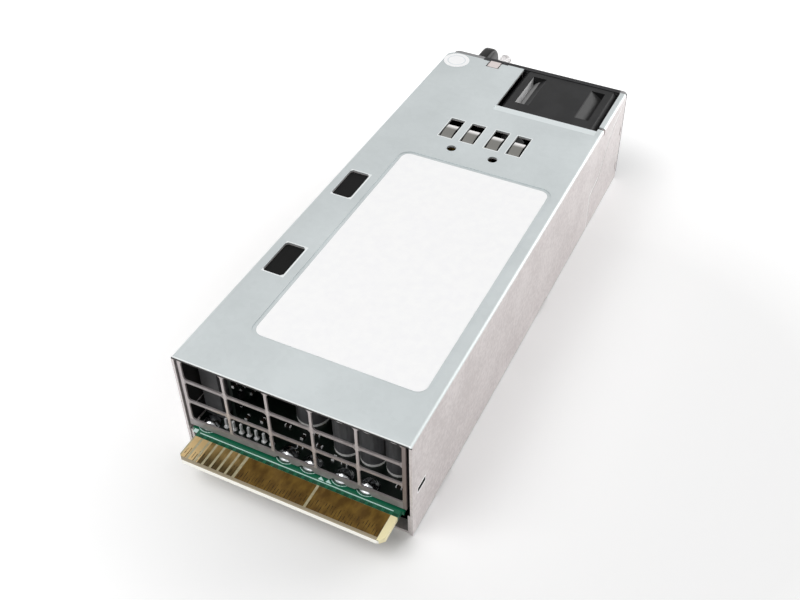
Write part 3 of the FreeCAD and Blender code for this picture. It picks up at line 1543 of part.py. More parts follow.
def make_small_parts():
    """The remaining parts of the input filter and of the converter."""
    top, wall = "board_top", "-board_half + 2.2"
    boxes = [
        ("resonant_choke", wall, "26", f"{wall} + 18", "46", "19", 1.5),
        ("standby_transformer", wall, "48", f"{wall} + 14", "59", "14", 1.0),
        ("x_capacitor", "2.6", "board_front + 3.2", "20.6", "board_front + 9.8", "14", 0.8),
        ("inrush_relay", "4", "-40", "22", "-30", "15", 0.5),
    ]
    for name, x0, y0, x1, y1, height, edge in boxes:
        box = block(x0, y0, top, x1, y1, f"board_top + {height}")
        node(soften(box, lambda e: runs_along(e, 2), edge, "Part::Chamfer"), name)
    bars = [
        block(x0, "54", top, x1, "66", "board_top + 2.5") for x0, x1 in (("-15", "-3"), ("10", "22"))
    ]
    node(group(*bars), "output_bus_bars")
    tube = rod("X", "4", "-44.5", "board_top + 2.6", "2.4", "16", 12)
    caps = [rod("X", x, "-44.5", "board_top + 2.6", "2.6", "3", 12) for x in ("3", "18")]
    node(join(tube, *caps), "mains_fuse")
    sink = "board_narrow - 3.4"
    node(block(sink, "-46", top, f"{sink} + 2", "-28", "board_top + 20"), "rectifier_heatsink")
    return node(block(f"{sink} - 1.8", "-45", "board_top + 3", sink, "-29", "board_top + 17"), "bridge_rectifier")


def make_leads():
    """Insulated leads from the inlet pins to the board, and the fan's plug with its leads."""
    start, turn, land = "inlet_end + pin_tail", "inlet_end + pin_tail + 3.6", "board_front + 2"
    run = "board_top + 4"
    r = "lead_radius"
    leads = []
    for x, z in (("inlet_across - pin_offset", "inlet_up + pin_pitch"), ("inlet_across + pin_offset", "inlet_up")):
        leads.append(join(
            rod("Y", x, start, z, r, f"{turn} + {r} - ({start})", 8),
            rod("Z", x, turn, f"{run} - {r}", r, f"{z} - ({run}) + 2*{r}", 8),
            rod("Y", x, turn, run, r, f"{land} + {r} - ({turn})", 8),
            rod("Z", x, land, "board_top", r, f"{run} - board_top", 8),
        ))
    x, aside, z = "inlet_across - pin_offset", "inlet_across - pin_offset - 4.2", "board_top + 1.1"
    near = "inlet_end + pin_tail + 2"
    leads.append(join(
        rod("Y", x, start, z, r, f"2 + {r}", 8),
        rod("X", f"{aside} - {r}", near, z, r, f"4.2 + 2*{r}", 8),
        rod("Y", aside, near, z, r, f"{land} - ({near})", 8),
    ))
    node(group(*leads), "inlet_leads")
    plug = block("plug_across", "board_front + 0.6", "board_top", "plug_across + 8", "board_front + 6", "board_top + 7")
    node(soften(plug, lambda e: runs_along(e, 2), 0.5, "Part::Chamfer"), "fan_plug")
    wires = [
        rod("Y", f"plug_across + {1 + 2*k}", "fan_back", "board_top + 4", "0.6", "board_front + 0.6 - (fan_back)", 8)
        for k in range(4)
    ]
    return node(group(*wires), "fan_leads")


# ---------------------------------------------------------------- cover details

def make_contact_clips():
    """Two spring clips under the cover, each with two bowed fingers that rise through the slots."""
    clips = []
    for clip, hole in (("clip_left", "clip_hole_left"), ("clip_right", "clip_hole_right")):
        reach = "finger_slot_pitch/2 + finger_slot_width/2 + 1"
        base = minus(
            block(
                f"{clip} - ({reach})", "finger_slot_near", "lid_under - clip_thick",
                f"{clip} + {reach}", "clip_hole_place + 3.4", "lid_under",
            ),
            rod("Z", hole, "clip_hole_place", "lid_under - 1", "clip_hole_radius + 0.4", "2", 12),
        )
        fingers = [bowed_finger(f"{clip} + {side}*finger_slot_pitch/2") for side in (-1, 1)]
        clips.append(join(base, *fingers))
    return node(group(*clips), "contact_clips")


def bowed_finger(centre):
    """A strip bent to an arc that starts under the cover and bows up through its slot."""
    curves = []
    for radius in ("finger_bow", "finger_bow - finger_thick"):
        curve = FreeCAD.ActiveDocument.addObject("Part::Cylinder", "bow")
        bind(curve, Radius=radius, Height="finger_width")
        curve.Angle = 38
        upright = FreeCAD.Rotation(FreeCAD.Vector(1, 1, 1), 120)
        curve.Placement.Rotation = upright.multiply(FreeCAD.Rotation(FreeCAD.Vector(0, 0, 1), 67.5))
        curves.append(place(
            curve, f"{centre} - finger_width/2", "finger_slot_near - 4.8", "body_height + finger_rise - finger_bow",
        ))
    foot = block(
        f"{centre} - finger_width/2", "finger_slot_near - 1.2", "lid_under - clip_thick",
        f"{centre} + finger_width/2", "finger_slot_near", "lid_under",
    )
    return join(minus(*curves), foot)


def make_lid_film():
    """Insulating film stuck under the cover behind the two slots."""
    film = block(
        "film_slot_left - film_slot_width - 1.6", "film_slot_first - 8", "lid_under - film_thick",
        "wall_in - 0.4", "film_slot_second + film_slot_length + 8", "lid_under",
    )
    return node(film, "lid_insulator")


def make_labels():
    """Bare rating label in its recess and a round sticker near the front corner."""
    label = block(
        "label_right", "label_centre_along - label_length/2", "label_low",
        "label_left", "label_centre_along + label_length/2", "label_low + label_thick",
    )
    node(soften(label, lambda e: runs_along(e, 2), SIZES["label_round"]), "rating_label")
    return node(rod("Z", "sticker_across", "sticker_along", "body_height", "sticker_radius", "label_thick"), "round_sticker")


# ---------------------------------------------------------------- document

def make_sheet(doc):
    """The spreadsheet of driving sizes: alias in column A, plain number in column B."""
    sheet = doc.addObject("Spreadsheet::Sheet", "Sizes")
    for row, (alias, value) in enumerate(SIZES.items(), 1):
        sheet.set(f"A{row}", alias)
        sheet.set(f"B{row}", str(value))
        sheet.setAlias(f"B{row}", alias)
    doc.recompute()


def check(doc):
    """Stops the build if anything failed or any sub-part isn't a valid solid."""
    for thing in doc.Objects:
        if "Invalid" in thing.State or "Error" in thing.State:
            raise RuntimeError(f"{thing.Name} ({thing.Label}) failed: {thing.State}")
        solid = thing.isDerivedFrom("Part::Feature") and not thing.isDerivedFrom("Part::Part2DObject")
        if solid and (thing.Shape.isNull() or not thing.Shape.isValid() or not thing.Shape.Solids):
            raise RuntimeError(f"{thing.Name} ({thing.Label}) has no valid solid")


def main():
    """Builds the document, checks it and writes one STEP file for each sub-part."""
    doc = FreeCAD.newDocument("power_supply")
    make_sheet(doc)
    make_chassis_base()
    make_top_cover()
    make_cover_screws()
    make_rear_grille()
    make_front_panel()
    make_finger_guard()
    make_fan_frame()
    make_fan_rotor()
    make_fan_motor()
    make_fan_screws()
    make_inlet()
    make_inlet_bracket()
    make_handle()
    make_status_light()
    make_release_lever()
    make_thumb_tab()
    make_pivot_pin()
    make_lever_spring()
    make_main_board()
    make_board_fixings()
    make_contacts()
    make_output_details()
    make_capacitors()
    make_control_card()
    make_power_stage()
    wound_ring("13", "-10", "pfc_choke", 16)
    wound_ring("-12", "-44", "filter_choke", 14, "choke_radius - 0.5")
    make_transformer()
    make_small_parts()
    make_leads()
    make_contact_clips()
    make_lid_film()
    make_labels()
    doc.recompute()
    check(doc)
    os.makedirs("parts", exist_ok=True)
    for part in NODES:
        part.Shape.exportStep(f"parts/{part.Label}.step")
    print(f"{len(NODES)} sub-parts, {sum(len(part.Shape.Solids) for part in NODES)} solids")


main()
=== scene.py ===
"""Looks of a hot swap server power supply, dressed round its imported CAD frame."""

from __future__ import annotations

import logging
import math
from collections.abc import Iterable, Sequence
from dataclasses import dataclass
from enum import Enum
from typing import Any

import bmesh
import bpy
from mathutils import Matrix, Vector

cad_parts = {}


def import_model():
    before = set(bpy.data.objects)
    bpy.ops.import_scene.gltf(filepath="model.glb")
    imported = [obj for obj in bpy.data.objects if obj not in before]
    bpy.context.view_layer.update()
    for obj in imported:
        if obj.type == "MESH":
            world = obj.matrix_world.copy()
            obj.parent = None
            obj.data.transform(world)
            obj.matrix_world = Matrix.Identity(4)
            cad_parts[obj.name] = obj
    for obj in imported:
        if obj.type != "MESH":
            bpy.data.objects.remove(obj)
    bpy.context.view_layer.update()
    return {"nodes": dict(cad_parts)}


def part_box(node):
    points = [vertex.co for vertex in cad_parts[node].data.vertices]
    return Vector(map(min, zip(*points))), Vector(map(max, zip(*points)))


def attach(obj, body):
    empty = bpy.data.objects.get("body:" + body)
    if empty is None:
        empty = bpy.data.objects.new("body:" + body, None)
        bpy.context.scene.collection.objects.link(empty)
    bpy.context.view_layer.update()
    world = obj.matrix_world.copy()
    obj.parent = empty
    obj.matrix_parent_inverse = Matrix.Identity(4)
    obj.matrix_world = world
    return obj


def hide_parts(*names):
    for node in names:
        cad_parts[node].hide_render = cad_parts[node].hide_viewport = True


LOG = logging.getLogger("power_supply")
MM = 0.001
FAR = 120.0  # Millimetres: past every side of the object, where an area is open.
OUTER_SIDE = (-37.0, -36.7)  # Millimetres across: the outer face of the folded side.
Point = tuple[float, float, float]
Span = tuple[float, float]
Tones = tuple[str, str]
Material = bpy.types.Material
Node = bpy.types.Node
Object = bpy.types.Object
Socket = bpy.types.NodeSocket
Tree = bpy.types.NodeTree


# ------------------------------------------------------------------ nodes


def linear(code: str) -> tuple[float, float, float, float]:
    """Turns an sRGB hex code into a linear colour.

    Args:
        code: six hex digits after a hash.

    Returns:
        Red, green, blue and an alpha of 1.
    """
    parts = [int(code[i : i + 2], 16) / 255 for i in (1, 3, 5)]
    red, green, blue = (c / 12.92 if c <= 0.04045 else ((c + 0.055) / 1.055) ** 2.4 for c in parts)
    return red, green, blue, 1.0


def add(tree: Tree, kind: str, inputs: dict[Any, Any] | None = None, **settings: Any) -> Node:
    """Adds a node with its settings and links.

    Args:
        tree: the tree that gets the node.
        kind: the node's type name.
        inputs: values, hex colours, sockets, or nodes for their first output, by input name or number.
        settings: properties of the node, set before its inputs.

    Returns:
        The new node.
    """
    node = tree.nodes.new(kind)
    for key, value in settings.items():
        setattr(node, key, value)
    for key, value in (inputs or {}).items():
        if isinstance(value, Node):
            tree.links.new(value.outputs[0], node.inputs[key])
        elif isinstance(value, Socket):
            tree.links.new(value, node.inputs[key])
        elif isinstance(value, str) and value.startswith("#"):
            node.inputs[key].default_value = linear(value)
        else:
            node.inputs[key].default_value = value
    return node


@dataclass(frozen=True)
class Patch:
    """An area with its own colour, from the lowest to the highest millimetre along each axis that bounds it."""

    colour: str
    x: Span | None = None
    y: Span | None = None
    z: Span | None = None


class Surface:
    """A material in the making: its shader and the patterns that feed it, in the part's own millimetres."""

    def __init__(self, name: str, roughness: float, metallic: float = 0.0) -> None:
        """Starts the material.

        Args:
            name: the finish's name.
            roughness: the shader's roughness.
            metallic: the shader's metallic share.
        """
        self.material = bpy.data.materials.new(name)
        self.material.use_nodes = True
        self.tree = self.material.node_tree
        self.tree.nodes.clear()
        self.shader = add(self.tree, "ShaderNodeBsdfPrincipled", {"Roughness": roughness, "Metallic": metallic})
        add(self.tree, "ShaderNodeOutputMaterial", {"Surface": self.shader})
        self.place = add(self.tree, "ShaderNodeTexCoord").outputs["Object"]
        self.axes = add(self.tree, "ShaderNodeSeparateXYZ", {"Vector": self.place}).outputs

    def feed(self, socket: str, source: Socket) -> None:
        """Links a pattern to one of the shader's inputs."""
        self.tree.links.new(source, self.shader.inputs[socket])

    def clouds(self, size: float, stretch: Point = (1.0, 1.0, 1.0), detail: float = 2.0) -> Socket:
        """Soft blotches.

        Args:
            size: how many millimetres a blotch measures.
            stretch: how many times longer it is along each axis.
            detail: how many finer layers it has.

        Returns:
            The pattern's value.
        """
        scale = tuple(1 / (size * along * MM) for along in stretch)
        cells = add(self.tree, "ShaderNodeVectorMath", {0: self.place, 1: scale}, operation="MULTIPLY")
        return add(self.tree, "ShaderNodeTexNoise", {"Vector": cells, "Scale": 1.0, "Detail": detail}).outputs[0]

    def tone(
        self, pattern: Socket, dark: str, light: str, start: float = 0.35, end: float = 0.65
    ) -> Socket:
        """Colours a pattern.

        Args:
            pattern: the value that picks the colour.
            dark: hex colour up to the start.
            light: hex colour from the end.
            start: value at which the dark colour is left.
            end: value at which the light colour is reached.

        Returns:
            The colour.
        """
        ramp = add(self.tree, "ShaderNodeValToRGB", {"Fac": pattern})
        for stop, position, colour in zip(ramp.color_ramp.elements, (start, end), (dark, light)):
            stop.position = position
            stop.color = linear(colour)
        return ramp.outputs["Color"]

    def within(self, x: Span | None = None, y: Span | None = None, z: Span | None = None) -> Socket:
        """A mask.

        Args:
            x: lowest and highest millimetre along X, where that bounds it.
            y: the same along Y.
            z: the same along Z.

        Returns:
            A value that is 1 inside every given span.
        """
        mask = None
        for axis, span in zip("XYZ", (x, y, z)):
            if span:
                middle, half = (span[0] + span[1]) / 2 * MM, (span[1] - span[0]) / 2 * MM
                near = add(self.tree, "ShaderNodeMath", {0: self.axes[axis], 1: middle, 2: half}, operation="COMPARE")
                mask = near if mask is None else add(
                    self.tree, "ShaderNodeMath", {0: mask, 1: near}, operation="MULTIPLY"
                )
        return mask.outputs[0]

    def layered(self, colour: Any, *layers: tuple[Any, Any]) -> Any:
        """Lays colours over one another.

        Args:
            colour: the lowest colour.
            layers: a mask and a colour for each layer, from the lowest up.

        Returns:
            The colour, with each layer on it where its mask is 1.
        """
        for mask, above in layers:
            colour = add(self.tree, "ShaderNodeMix", {0: mask, 6: colour, 7: above}, data_type="RGBA").outputs[2]
        return colour

    def patched(self, colour: Any, *patches: Patch) -> Any:
        """Lays patches over a colour, the last one on top."""
        return self.layered(colour, *((self.within(patch.x, patch.y, patch.z), patch.colour) for patch in patches))

    def relief(self, height: Socket, depth: float, strength: float = 0.3) -> None:
        """Raises the surface by a pattern, by the given millimetres."""
        raised = add(self.tree, "ShaderNodeBump", {"Height": height, "Strength": strength, "Distance": depth * MM})
        self.feed("Normal", raised.outputs["Normal"])


# ------------------------------------------------------------------ finishes


@dataclass(frozen=True)
class GalvanisedSheet:
    """Steel sheet with a skin passed zinc coat, sheared and folded.

    It gives a soft cool grey with hardly visible crystals on the flat top, and a warmer, lighter, finely speckled
    tone on the folded sides. Painted highlights lie along the rear and bottom edges, the seam and the rims of the
    holes and slots, and painted light lies on the folded edge and on the recessed strip beside the fan window.
    Painted shade darkens the lower rear edge, the faces inside the case and a band just round each lanced slot, so
    they read black. Holes are given as across, along, width and length, and lanced slots of the side as along,
    height, length and width.
    """

    name: str
    top: Tones = ("#C1C7C8", "#CBD1D2")
    side: Tones = ("#CEC7C6", "#DED8D7")
    # Painted highlight on the rear and bottom edges and round the lid's holes.
    edge: str = "#E4E8E8"
    # Painted highlight along the seam and round the lanced slots.
    sheared: str = "#FFFFFF"
    # Painted light: the recessed strip beside the fan window is made lighter, as the light on its slope.
    ledge_highlight: Patch = Patch("#D6DCDD", x=(-34.3, 4.7), y=(-62.4, -58.9))
    rear_shade: Patch = Patch("#3A3838", y=(92.15, 93.0), z=(38.1, 38.8))
    # Painted light: the folded edge gets its own tone, set for the highlight on the bend.
    painted_fold_light: Patch = Patch("#C6CCCC", x=(-37.0, -35.9), z=(38.45, FAR))
    # Painted shade: the faces inside the case are darkened, so the slots and windows read black.
    inner_shade: Patch = Patch("#1C1B1B", x=(-35.7, 34.9), y=(-90.0, 91.9), z=(0.9, 38.1))
    # Spans of the painted highlights on the rear edge and along the foot of the side.
    rear: Span = (92.15, 93.0)
    rear_level: float = 38.8
    foot: Span = (-0.5, 0.3)
    top_level: float = 38.5
    top_stops: Span = (0.35, 0.75)
    side_stops: Span = (0.36, 0.54)
    spangle: float = 1.6
    spangle_share: float = 0.1
    drift: float = 26.0
    speck: float = 1.1
    speck_share: float = 0.55
    cloud: float = 16.0
    cloud_share: float = 0.35
    seam: tuple[Span, ...] = ()
    seam_lift: float = 0.35
    seam_reach: float = 0.4
    seam_drop: Span = (-0.1, 0.55)
    slots: tuple[tuple[float, float, float, float], ...] = ()
    # Widths of the painted highlight round each lanced slot, and of the painted shade just round its cut.
    slot_rims: Span = (0.8, 0.35)
    slot_side: Span = (-37.0, -35.6)
    holes: tuple[tuple[float, float, float, float], ...] = ()
    # How far the painted highlight reaches past each hole of the lid, across and along.
    hole_rim: Span = (0.3, 0.4)
    hole_level: float = 38.9
    metallic: float = 0.6
    roughness: float = 0.48

    def material(self) -> Material:
        """Builds the material.

        Returns:
            The material.
        """
        made = Surface(self.name, self.roughness, self.metallic)
        tree = made.tree
        crystals = add(tree, "ShaderNodeTexVoronoi", {"Vector": made.place, "Scale": 1 / (self.spangle * MM)})
        grey = add(tree, "ShaderNodeSeparateColor", {"Color": crystals.outputs["Color"]})
        specks = made.clouds(self.speck, detail=4.0)
        mixed = add(tree, "ShaderNodeMath", {0: specks, 1: self.speck_share}, operation="MULTIPLY")
        mixed = add(
            tree, "ShaderNodeMath", {0: made.clouds(self.cloud), 1: self.cloud_share, 2: mixed},
            operation="MULTIPLY_ADD",
        )
        fine = add(
            tree, "ShaderNodeMath", {0: grey, 1: self.spangle_share, 2: made.clouds(self.drift)},
            operation="MULTIPLY_ADD",
        )
        top = made.patched(made.tone(fine, *self.top, *self.top_stops), self.ledge_highlight)
        side = made.tone(mixed, *self.side, *self.side_stops)
        outer = made.layered(side, (made.within(z=(self.top_level, FAR)), top))
        outer = made.patched(outer, self.rear_shade, self.painted_fold_light, *self.painted_edge_lights())
        if self.seam:
            outer = made.layered(outer, (self.seam_highlight(made), self.sheared))
        made.feed("Base Color", made.patched(outer, self.inner_shade))
        made.relief(made.clouds(0.6, detail=3.0), 0.02, 0.1)
        return made.material

    def painted_edge_lights(self) -> list[Patch]:
        """Painted highlights on the edges, and painted shade round the lanced slots.

        Returns:
            The rear and bottom edges, the rims of the lid's holes, then those of the lanced slots, dark just round the
            cut.
        """
        edges = [Patch(self.edge, y=self.rear, z=(self.rear_level, FAR)), Patch(self.edge, x=OUTER_SIDE, z=self.foot)]
        for across, along, wide, long in self.holes:
            half, reach = wide / 2 + self.hole_rim[0], long / 2 + self.hole_rim[1]
            edges.append(Patch(
                self.edge, (across - half, across + half), (along - reach, along + reach), (self.hole_level, FAR)
            ))
        for along, high, length, width in self.slots:
            for rim, colour in zip(self.slot_rims, (self.sheared, self.inner_shade.colour)):
                reach, half = (length + rim) / 2, width / 2 + rim
                edges.append(Patch(colour, self.slot_side, (along - reach, along + reach), (high - half, high + half)))
        return edges

    def seam_highlight(self, made: Surface) -> Node:
        """Painted highlight along the joggled seam of the folded side.

        Args:
            made: the material in the making.

        Returns:
            A value that is 1 on the edge.
        """
        tree, full, over = made.tree, 40.0, 0.5
        (start, _), (end, foot) = self.seam[0], self.seam[-1]
        share = add(
            tree, "ShaderNodeMapRange", {"Value": made.axes["Y"], "From Min": start * MM, "From Max": end * MM}
        )
        path = add(tree, "ShaderNodeFloatCurve", {"Value": share})
        curve = path.mapping.curves[0]
        stops = [((along - start) / (end - start), high / full) for along, high in self.seam]
        curve.points[0].location, curve.points[1].location = stops[0], stops[-1]
        for stop in stops[1:-1]:
            curve.points.new(*stop)
        for point in curve.points:
            point.handle_type = "VECTOR"
        path.mapping.update()
        line = add(tree, "ShaderNodeMath", {0: path, 1: full * MM, 2: self.seam_lift * MM}, operation="MULTIPLY_ADD")
        near = add(
            tree, "ShaderNodeMath", {0: made.axes["Z"], 1: line, 2: self.seam_reach * MM}, operation="COMPARE"
        )
        side = made.within(x=OUTER_SIDE, y=(start - 1.0, end))
        slope = add(tree, "ShaderNodeMath", {0: near, 1: side}, operation="MULTIPLY")
        near_end, far_end = (end + shift for shift in self.seam_drop)
        drop = made.within(x=OUTER_SIDE, y=(near_end, far_end), z=(self.foot[0], foot + over))
        return add(tree, "ShaderNodeMath", {0: slope, 1: drop}, operation="MAXIMUM")


@dataclass(frozen=True)
class GrilleSheet:
    """Thin zinc coated sheet with its windows punched out.

    It is a warmer grey than the case. Its upright bars are given a lighter tone than the level ones, the plain
    strip at its end keeps a brown storage stain, and painted shade darkens its returns inside the case.
    """

    name: str = "punched_galvanised_sheet"
    level: Tones = ("#948E8E", "#A39D9D")
    upright: str = "#BDB6B5"
    stain: Patch = Patch("#857A77", x=(-36.0, -33.8))
    # Painted shade: the sheet's returns inside the case are darkened.
    inner_shade: Patch = Patch("#242222", y=(0.0, 91.9))
    pitch: float = 13.7
    bar_reach: float = 0.48
    lowest: float = 13.8

    def material(self) -> Material:
        """Builds the material.

        Returns:
            The material.
        """
        made = Surface(self.name, 0.45, 0.5)
        tree, half = made.tree, self.pitch / 2 * MM
        steps = add(tree, "ShaderNodeMath", {0: made.axes["X"], 1: half}, operation="ADD")
        away = add(tree, "ShaderNodeMath", {0: steps, 1: half}, operation="PINGPONG")
        near = add(tree, "ShaderNodeMath", {0: away, 1: 0.0, 2: self.bar_reach * MM}, operation="COMPARE")
        windows = made.within(z=(self.lowest, FAR))
        bars = add(tree, "ShaderNodeMath", {0: near, 1: windows}, operation="MULTIPLY")
        face = made.layered(made.tone(made.clouds(3.0, detail=4.0), *self.level), (bars, self.upright))
        made.feed("Base Color", made.patched(face, self.stain, self.inner_shade))
        made.relief(made.clouds(0.6, detail=3.0), 0.02, 0.1)
        return made.material


@dataclass(frozen=True)
class MouldedPlastic:
    """Injection moulded plastic: one pigment right through, with the fine spark grain of its mould.

    Patches paint light on it: a highlight along a corner, or a lit wall or slope in a pocket.
    """

    name: str
    dark: str
    light: str
    roughness: float = 0.5
    specular: float = 0.22
    grain: float = 0.35
    depth: float = 0.02
    patches: tuple[Patch, ...] = ()

    def material(self) -> Material:
        """Builds the material.

        Returns:
            The material.
        """
        made = Surface(self.name, self.roughness)
        made.feed("Base Color", made.patched(made.tone(made.clouds(7.0), self.dark, self.light), *self.patches))
        made.shader.inputs["Specular IOR Level"].default_value = self.specular
        made.relief(made.clouds(self.grain), self.depth)
        return made.material


@dataclass(frozen=True)
class Metal:
    """Bare or plated metal: rolled, drawn or machined, with faint marks of how it was made."""

    name: str
    dark: str
    light: str
    roughness: float = 0.3
    mark: float = 1.4
    stretch: Point = (1.0, 1.0, 1.0)
    metallic: float = 1.0
    duller: Span = (-0.06, 0.08)

    def material(self) -> Material:
        """Builds the material.

        Returns:
            The material.
        """
        made = Surface(self.name, self.roughness, self.metallic)
        marks = made.clouds(self.mark, self.stretch, 4.0)
        made.feed("Base Color", made.tone(marks, self.dark, self.light))
        low, high = (self.roughness + change for change in self.duller)
        gloss = add(made.tree, "ShaderNodeMapRange", {"Value": marks, "To Min": low, "To Max": high})
        made.feed("Roughness", gloss.outputs[0])
        made.relief(marks, 0.02, 0.08)
        return made.material


@dataclass(frozen=True)
class BowedSpring:
    """Rolled stainless strip: the bend of each finger carries a painted highlight, and the flat behind it stays dull.
    """

    name: str
    dull: str = "#7E7D79"
    crest_highlight: str = "#EDEBEA"
    bend: float = -42.0
    flat: float = -40.3
    roughness: float = 0.4

    def material(self) -> Material:
        """Builds the material.

        Returns:
            The material.
        """
        made = Surface(self.name, self.roughness, 0.85)
        ends = {"From Min": self.flat * MM, "From Max": self.bend * MM}
        along = add(made.tree, "ShaderNodeMapRange", {"Value": made.axes["Y"]} | ends)
        made.feed("Base Color", made.tone(along, self.dull, self.crest_highlight, 0.0, 1.0))
        made.relief(made.clouds(0.5, (1.0, 8.0, 1.0), 3.0), 0.02, 0.12)
        return made.material


@dataclass(frozen=True)
class SleevedCan:
    """Electrolytic capacitor: a plain shrink sleeve on a drawn can, its foot and rim near white: its own bare
    aluminium, with the reflection painted in.
    """

    name: str
    sleeve: Tones = ("#4C4C4E", "#5E5E60")
    # Near white and not metallic: bare aluminium with a painted reflection, so it reads in the shade of the case.
    bare: str = "#F2F2F0"
    foot: float = 11.4
    rim: float = 60.0

    def material(self) -> Material:
        """Builds the material.

        Returns:
            The material.
        """
        made = Surface(self.name, 0.28)
        sleeve = made.tone(made.clouds(3.0, (1.0, 1.0, 4.0)), *self.sleeve)
        ends = (Patch(self.bare, z=(0.0, self.foot)), Patch(self.bare, z=(self.rim, FAR)))
        made.feed("Base Color", made.patched(sleeve, *ends))
        made.shader.inputs["Specular IOR Level"].default_value = 0.35
        made.relief(made.clouds(1.4), 0.01, 0.15)
        return made.material


@dataclass(frozen=True)
class MaskedLaminate:
    """Glass fibre laminate under green solder mask, with a bare routed tongue.

    The mask gives a deep glossy green with the tracks raised under it, darker inside the case. The bare margin
    is the pale straw colour of the resin, and its milled bevel and edge show the lighter glass.
    """

    name: str = "solder_masked_laminate"
    mask: Tones = ("#003A25", "#005236")
    track: str = "#0B6144"
    shade: Tones = ("#050B08", "#0B1711")
    bare: Tones = ("#AEA584", "#C0B796")
    mask_start: float = 91.2
    mask_end: float = 95.15
    track_pitch: float = 5.0
    bevel: Patch = Patch("#A59981", y=(102.8, 103.7), z=(10.0, 12.0))
    margin: Patch = Patch("#FDF2C2", x=(-40.0, -31.5), y=(95.15, 103.6))
    milled: Patch = Patch("#FFFDF4", y=(103.55, FAR), z=(0.0, 10.05))
    tip: Patch = Patch("#FFFDF4", y=(103.7, FAR))

    def material(self) -> Material:
        """Builds the material.

        Returns:
            The material.
        """
        made = Surface(self.name, 0.3)
        place = add(made.tree, "ShaderNodeMapping", {"Vector": made.place, "Scale": (1.0, 0.35, 1.0)})
        sizes = {"Scale": 1 / (self.track_pitch * MM), "Mortar Size": 0.1, "Mortar Smooth": 0.1}
        tracks = add(made.tree, "ShaderNodeTexBrick", {"Vector": place} | sizes).outputs["Fac"]
        board = made.layered(
            made.tone(made.clouds(3.0, detail=4.0), *self.shade),
            (made.within(y=(self.mask_start, FAR)),
             made.layered(made.tone(made.clouds(5.0), *self.mask), (tracks, self.track))),
            (made.within(y=(self.mask_end, FAR)), made.tone(made.clouds(0.9, detail=3.0), *self.bare)),
        )
        made.feed("Base Color", made.patched(board, self.bevel, self.margin, self.milled, self.tip))
        made.relief(tracks, 0.03, 0.4)
        return made.material


@dataclass(frozen=True)
class HardGold:
    """Hard gold over copper on edge contacts: brown gold, mottled, with fine wipe marks near the mating edge.

    The plating on the small contacts browns towards the mating edge, and stays pale on the ones at the end.
    """

    name: str
    dark: str
    light: str
    wipe: str
    pitch: float = 0.9
    start: float = 99.2
    pale: tuple[Patch, ...] = ()
    burnt: str | None = None
    fade: Span = (97.5, 101.5)
    line_level: float = 0.7
    gap_level: float = 0.5
    metallic: float = 0.35
    roughness: float = 0.36

    def material(self) -> Material:
        """Builds the material.

        Returns:
            The material.
        """
        made = Surface(self.name, self.roughness, self.metallic)
        tree = made.tree
        blotch = made.clouds(2.6, (1.0, 2.0, 1.0), 5.0)
        plate = made.tone(blotch, self.dark, self.light, 0.38, 0.62)
        if self.burnt:
            ends = {"From Min": self.fade[0] * MM, "From Max": self.fade[1] * MM}
            fade = add(tree, "ShaderNodeMapRange", {"Value": made.axes["Y"]} | ends)
            plate = made.layered(plate, (fade, self.burnt))
        plate = made.patched(plate, *self.pale)
        made.feed("Base Color", made.layered(plate, (self.wipes(made), self.wipe)))
        made.relief(blotch, 0.02, 0.15)
        return made.material

    def wipes(self, made: Surface) -> Node:
        """Broken lines that the socket's springs wipe into the plating.

        Args:
            made: the material in the making.

        Returns:
            A value that is 1 on the lines.
        """
        tree, turns = made.tree, math.tau / (self.pitch * MM)
        phase = add(tree, "ShaderNodeMath", {0: made.axes["X"], 1: turns}, operation="MULTIPLY")
        wave = add(tree, "ShaderNodeMath", {0: phase}, operation="SINE")
        lines = add(tree, "ShaderNodeMath", {0: wave, 1: self.line_level}, operation="GREATER_THAN")
        gaps = made.clouds(0.8, (0.4, 3.0, 1.0))
        share = add(tree, "ShaderNodeMath", {0: gaps, 1: self.gap_level}, operation="GREATER_THAN")
        for mask in (lines, made.within(y=(self.start, FAR))):
            share = add(tree, "ShaderNodeMath", {0: share, 1: mask}, operation="MULTIPLY")
        return share


@dataclass(frozen=True)
class CoatedPaper:
    """Coated label stock: smooth and nearly white, with the slightest fibre, and a faint ring where one is cut."""

    name: str
    tint: Tones = ("#FCFCFD", "#FFFFFF")
    ring: Point | None = None
    ring_radius: float = 3.4
    ring_reach: float = 0.2
    ring_tone: str = "#E2E8EB"

    def material(self) -> Material:
        """Builds the material.

        Returns:
            The material.
        """
        made = Surface(self.name, 0.5)
        paper = made.tone(made.clouds(2.5, detail=5.0), *self.tint)
        if self.ring:
            centre = tuple(c * MM for c in self.ring)
            away = add(made.tree, "ShaderNodeVectorMath", {0: made.place, 1: centre}, operation="DISTANCE")
            cut = {0: away.outputs["Value"], 1: self.ring_radius * MM, 2: self.ring_reach * MM}
            line = add(made.tree, "ShaderNodeMath", cut, operation="COMPARE")
            paper = made.layered(paper, (line, self.ring_tone))
        made.feed("Base Color", paper)
        made.shader.inputs["Specular IOR Level"].default_value = 0.3
        made.relief(made.clouds(0.5), 0.01, 0.08)
        return made.material


@dataclass(frozen=True)
class ClearPlastic:
    """Frosted polycarbonate of a light pipe: moulded, milky white and half see-through."""

    name: str = "clear_polycarbonate"
    index: float = 1.58
    see_through: float = 0.45

    def material(self) -> Material:
        """Builds the material.

        Returns:
            The material.
        """
        made = Surface(self.name, 0.3)
        made.feed("Base Color", made.tone(made.clouds(4.0), "#F4F0F0", "#FDFBFB"))
        made.shader.inputs["IOR"].default_value = self.index
        made.shader.inputs["Transmission Weight"].default_value = self.see_through
        return made.material


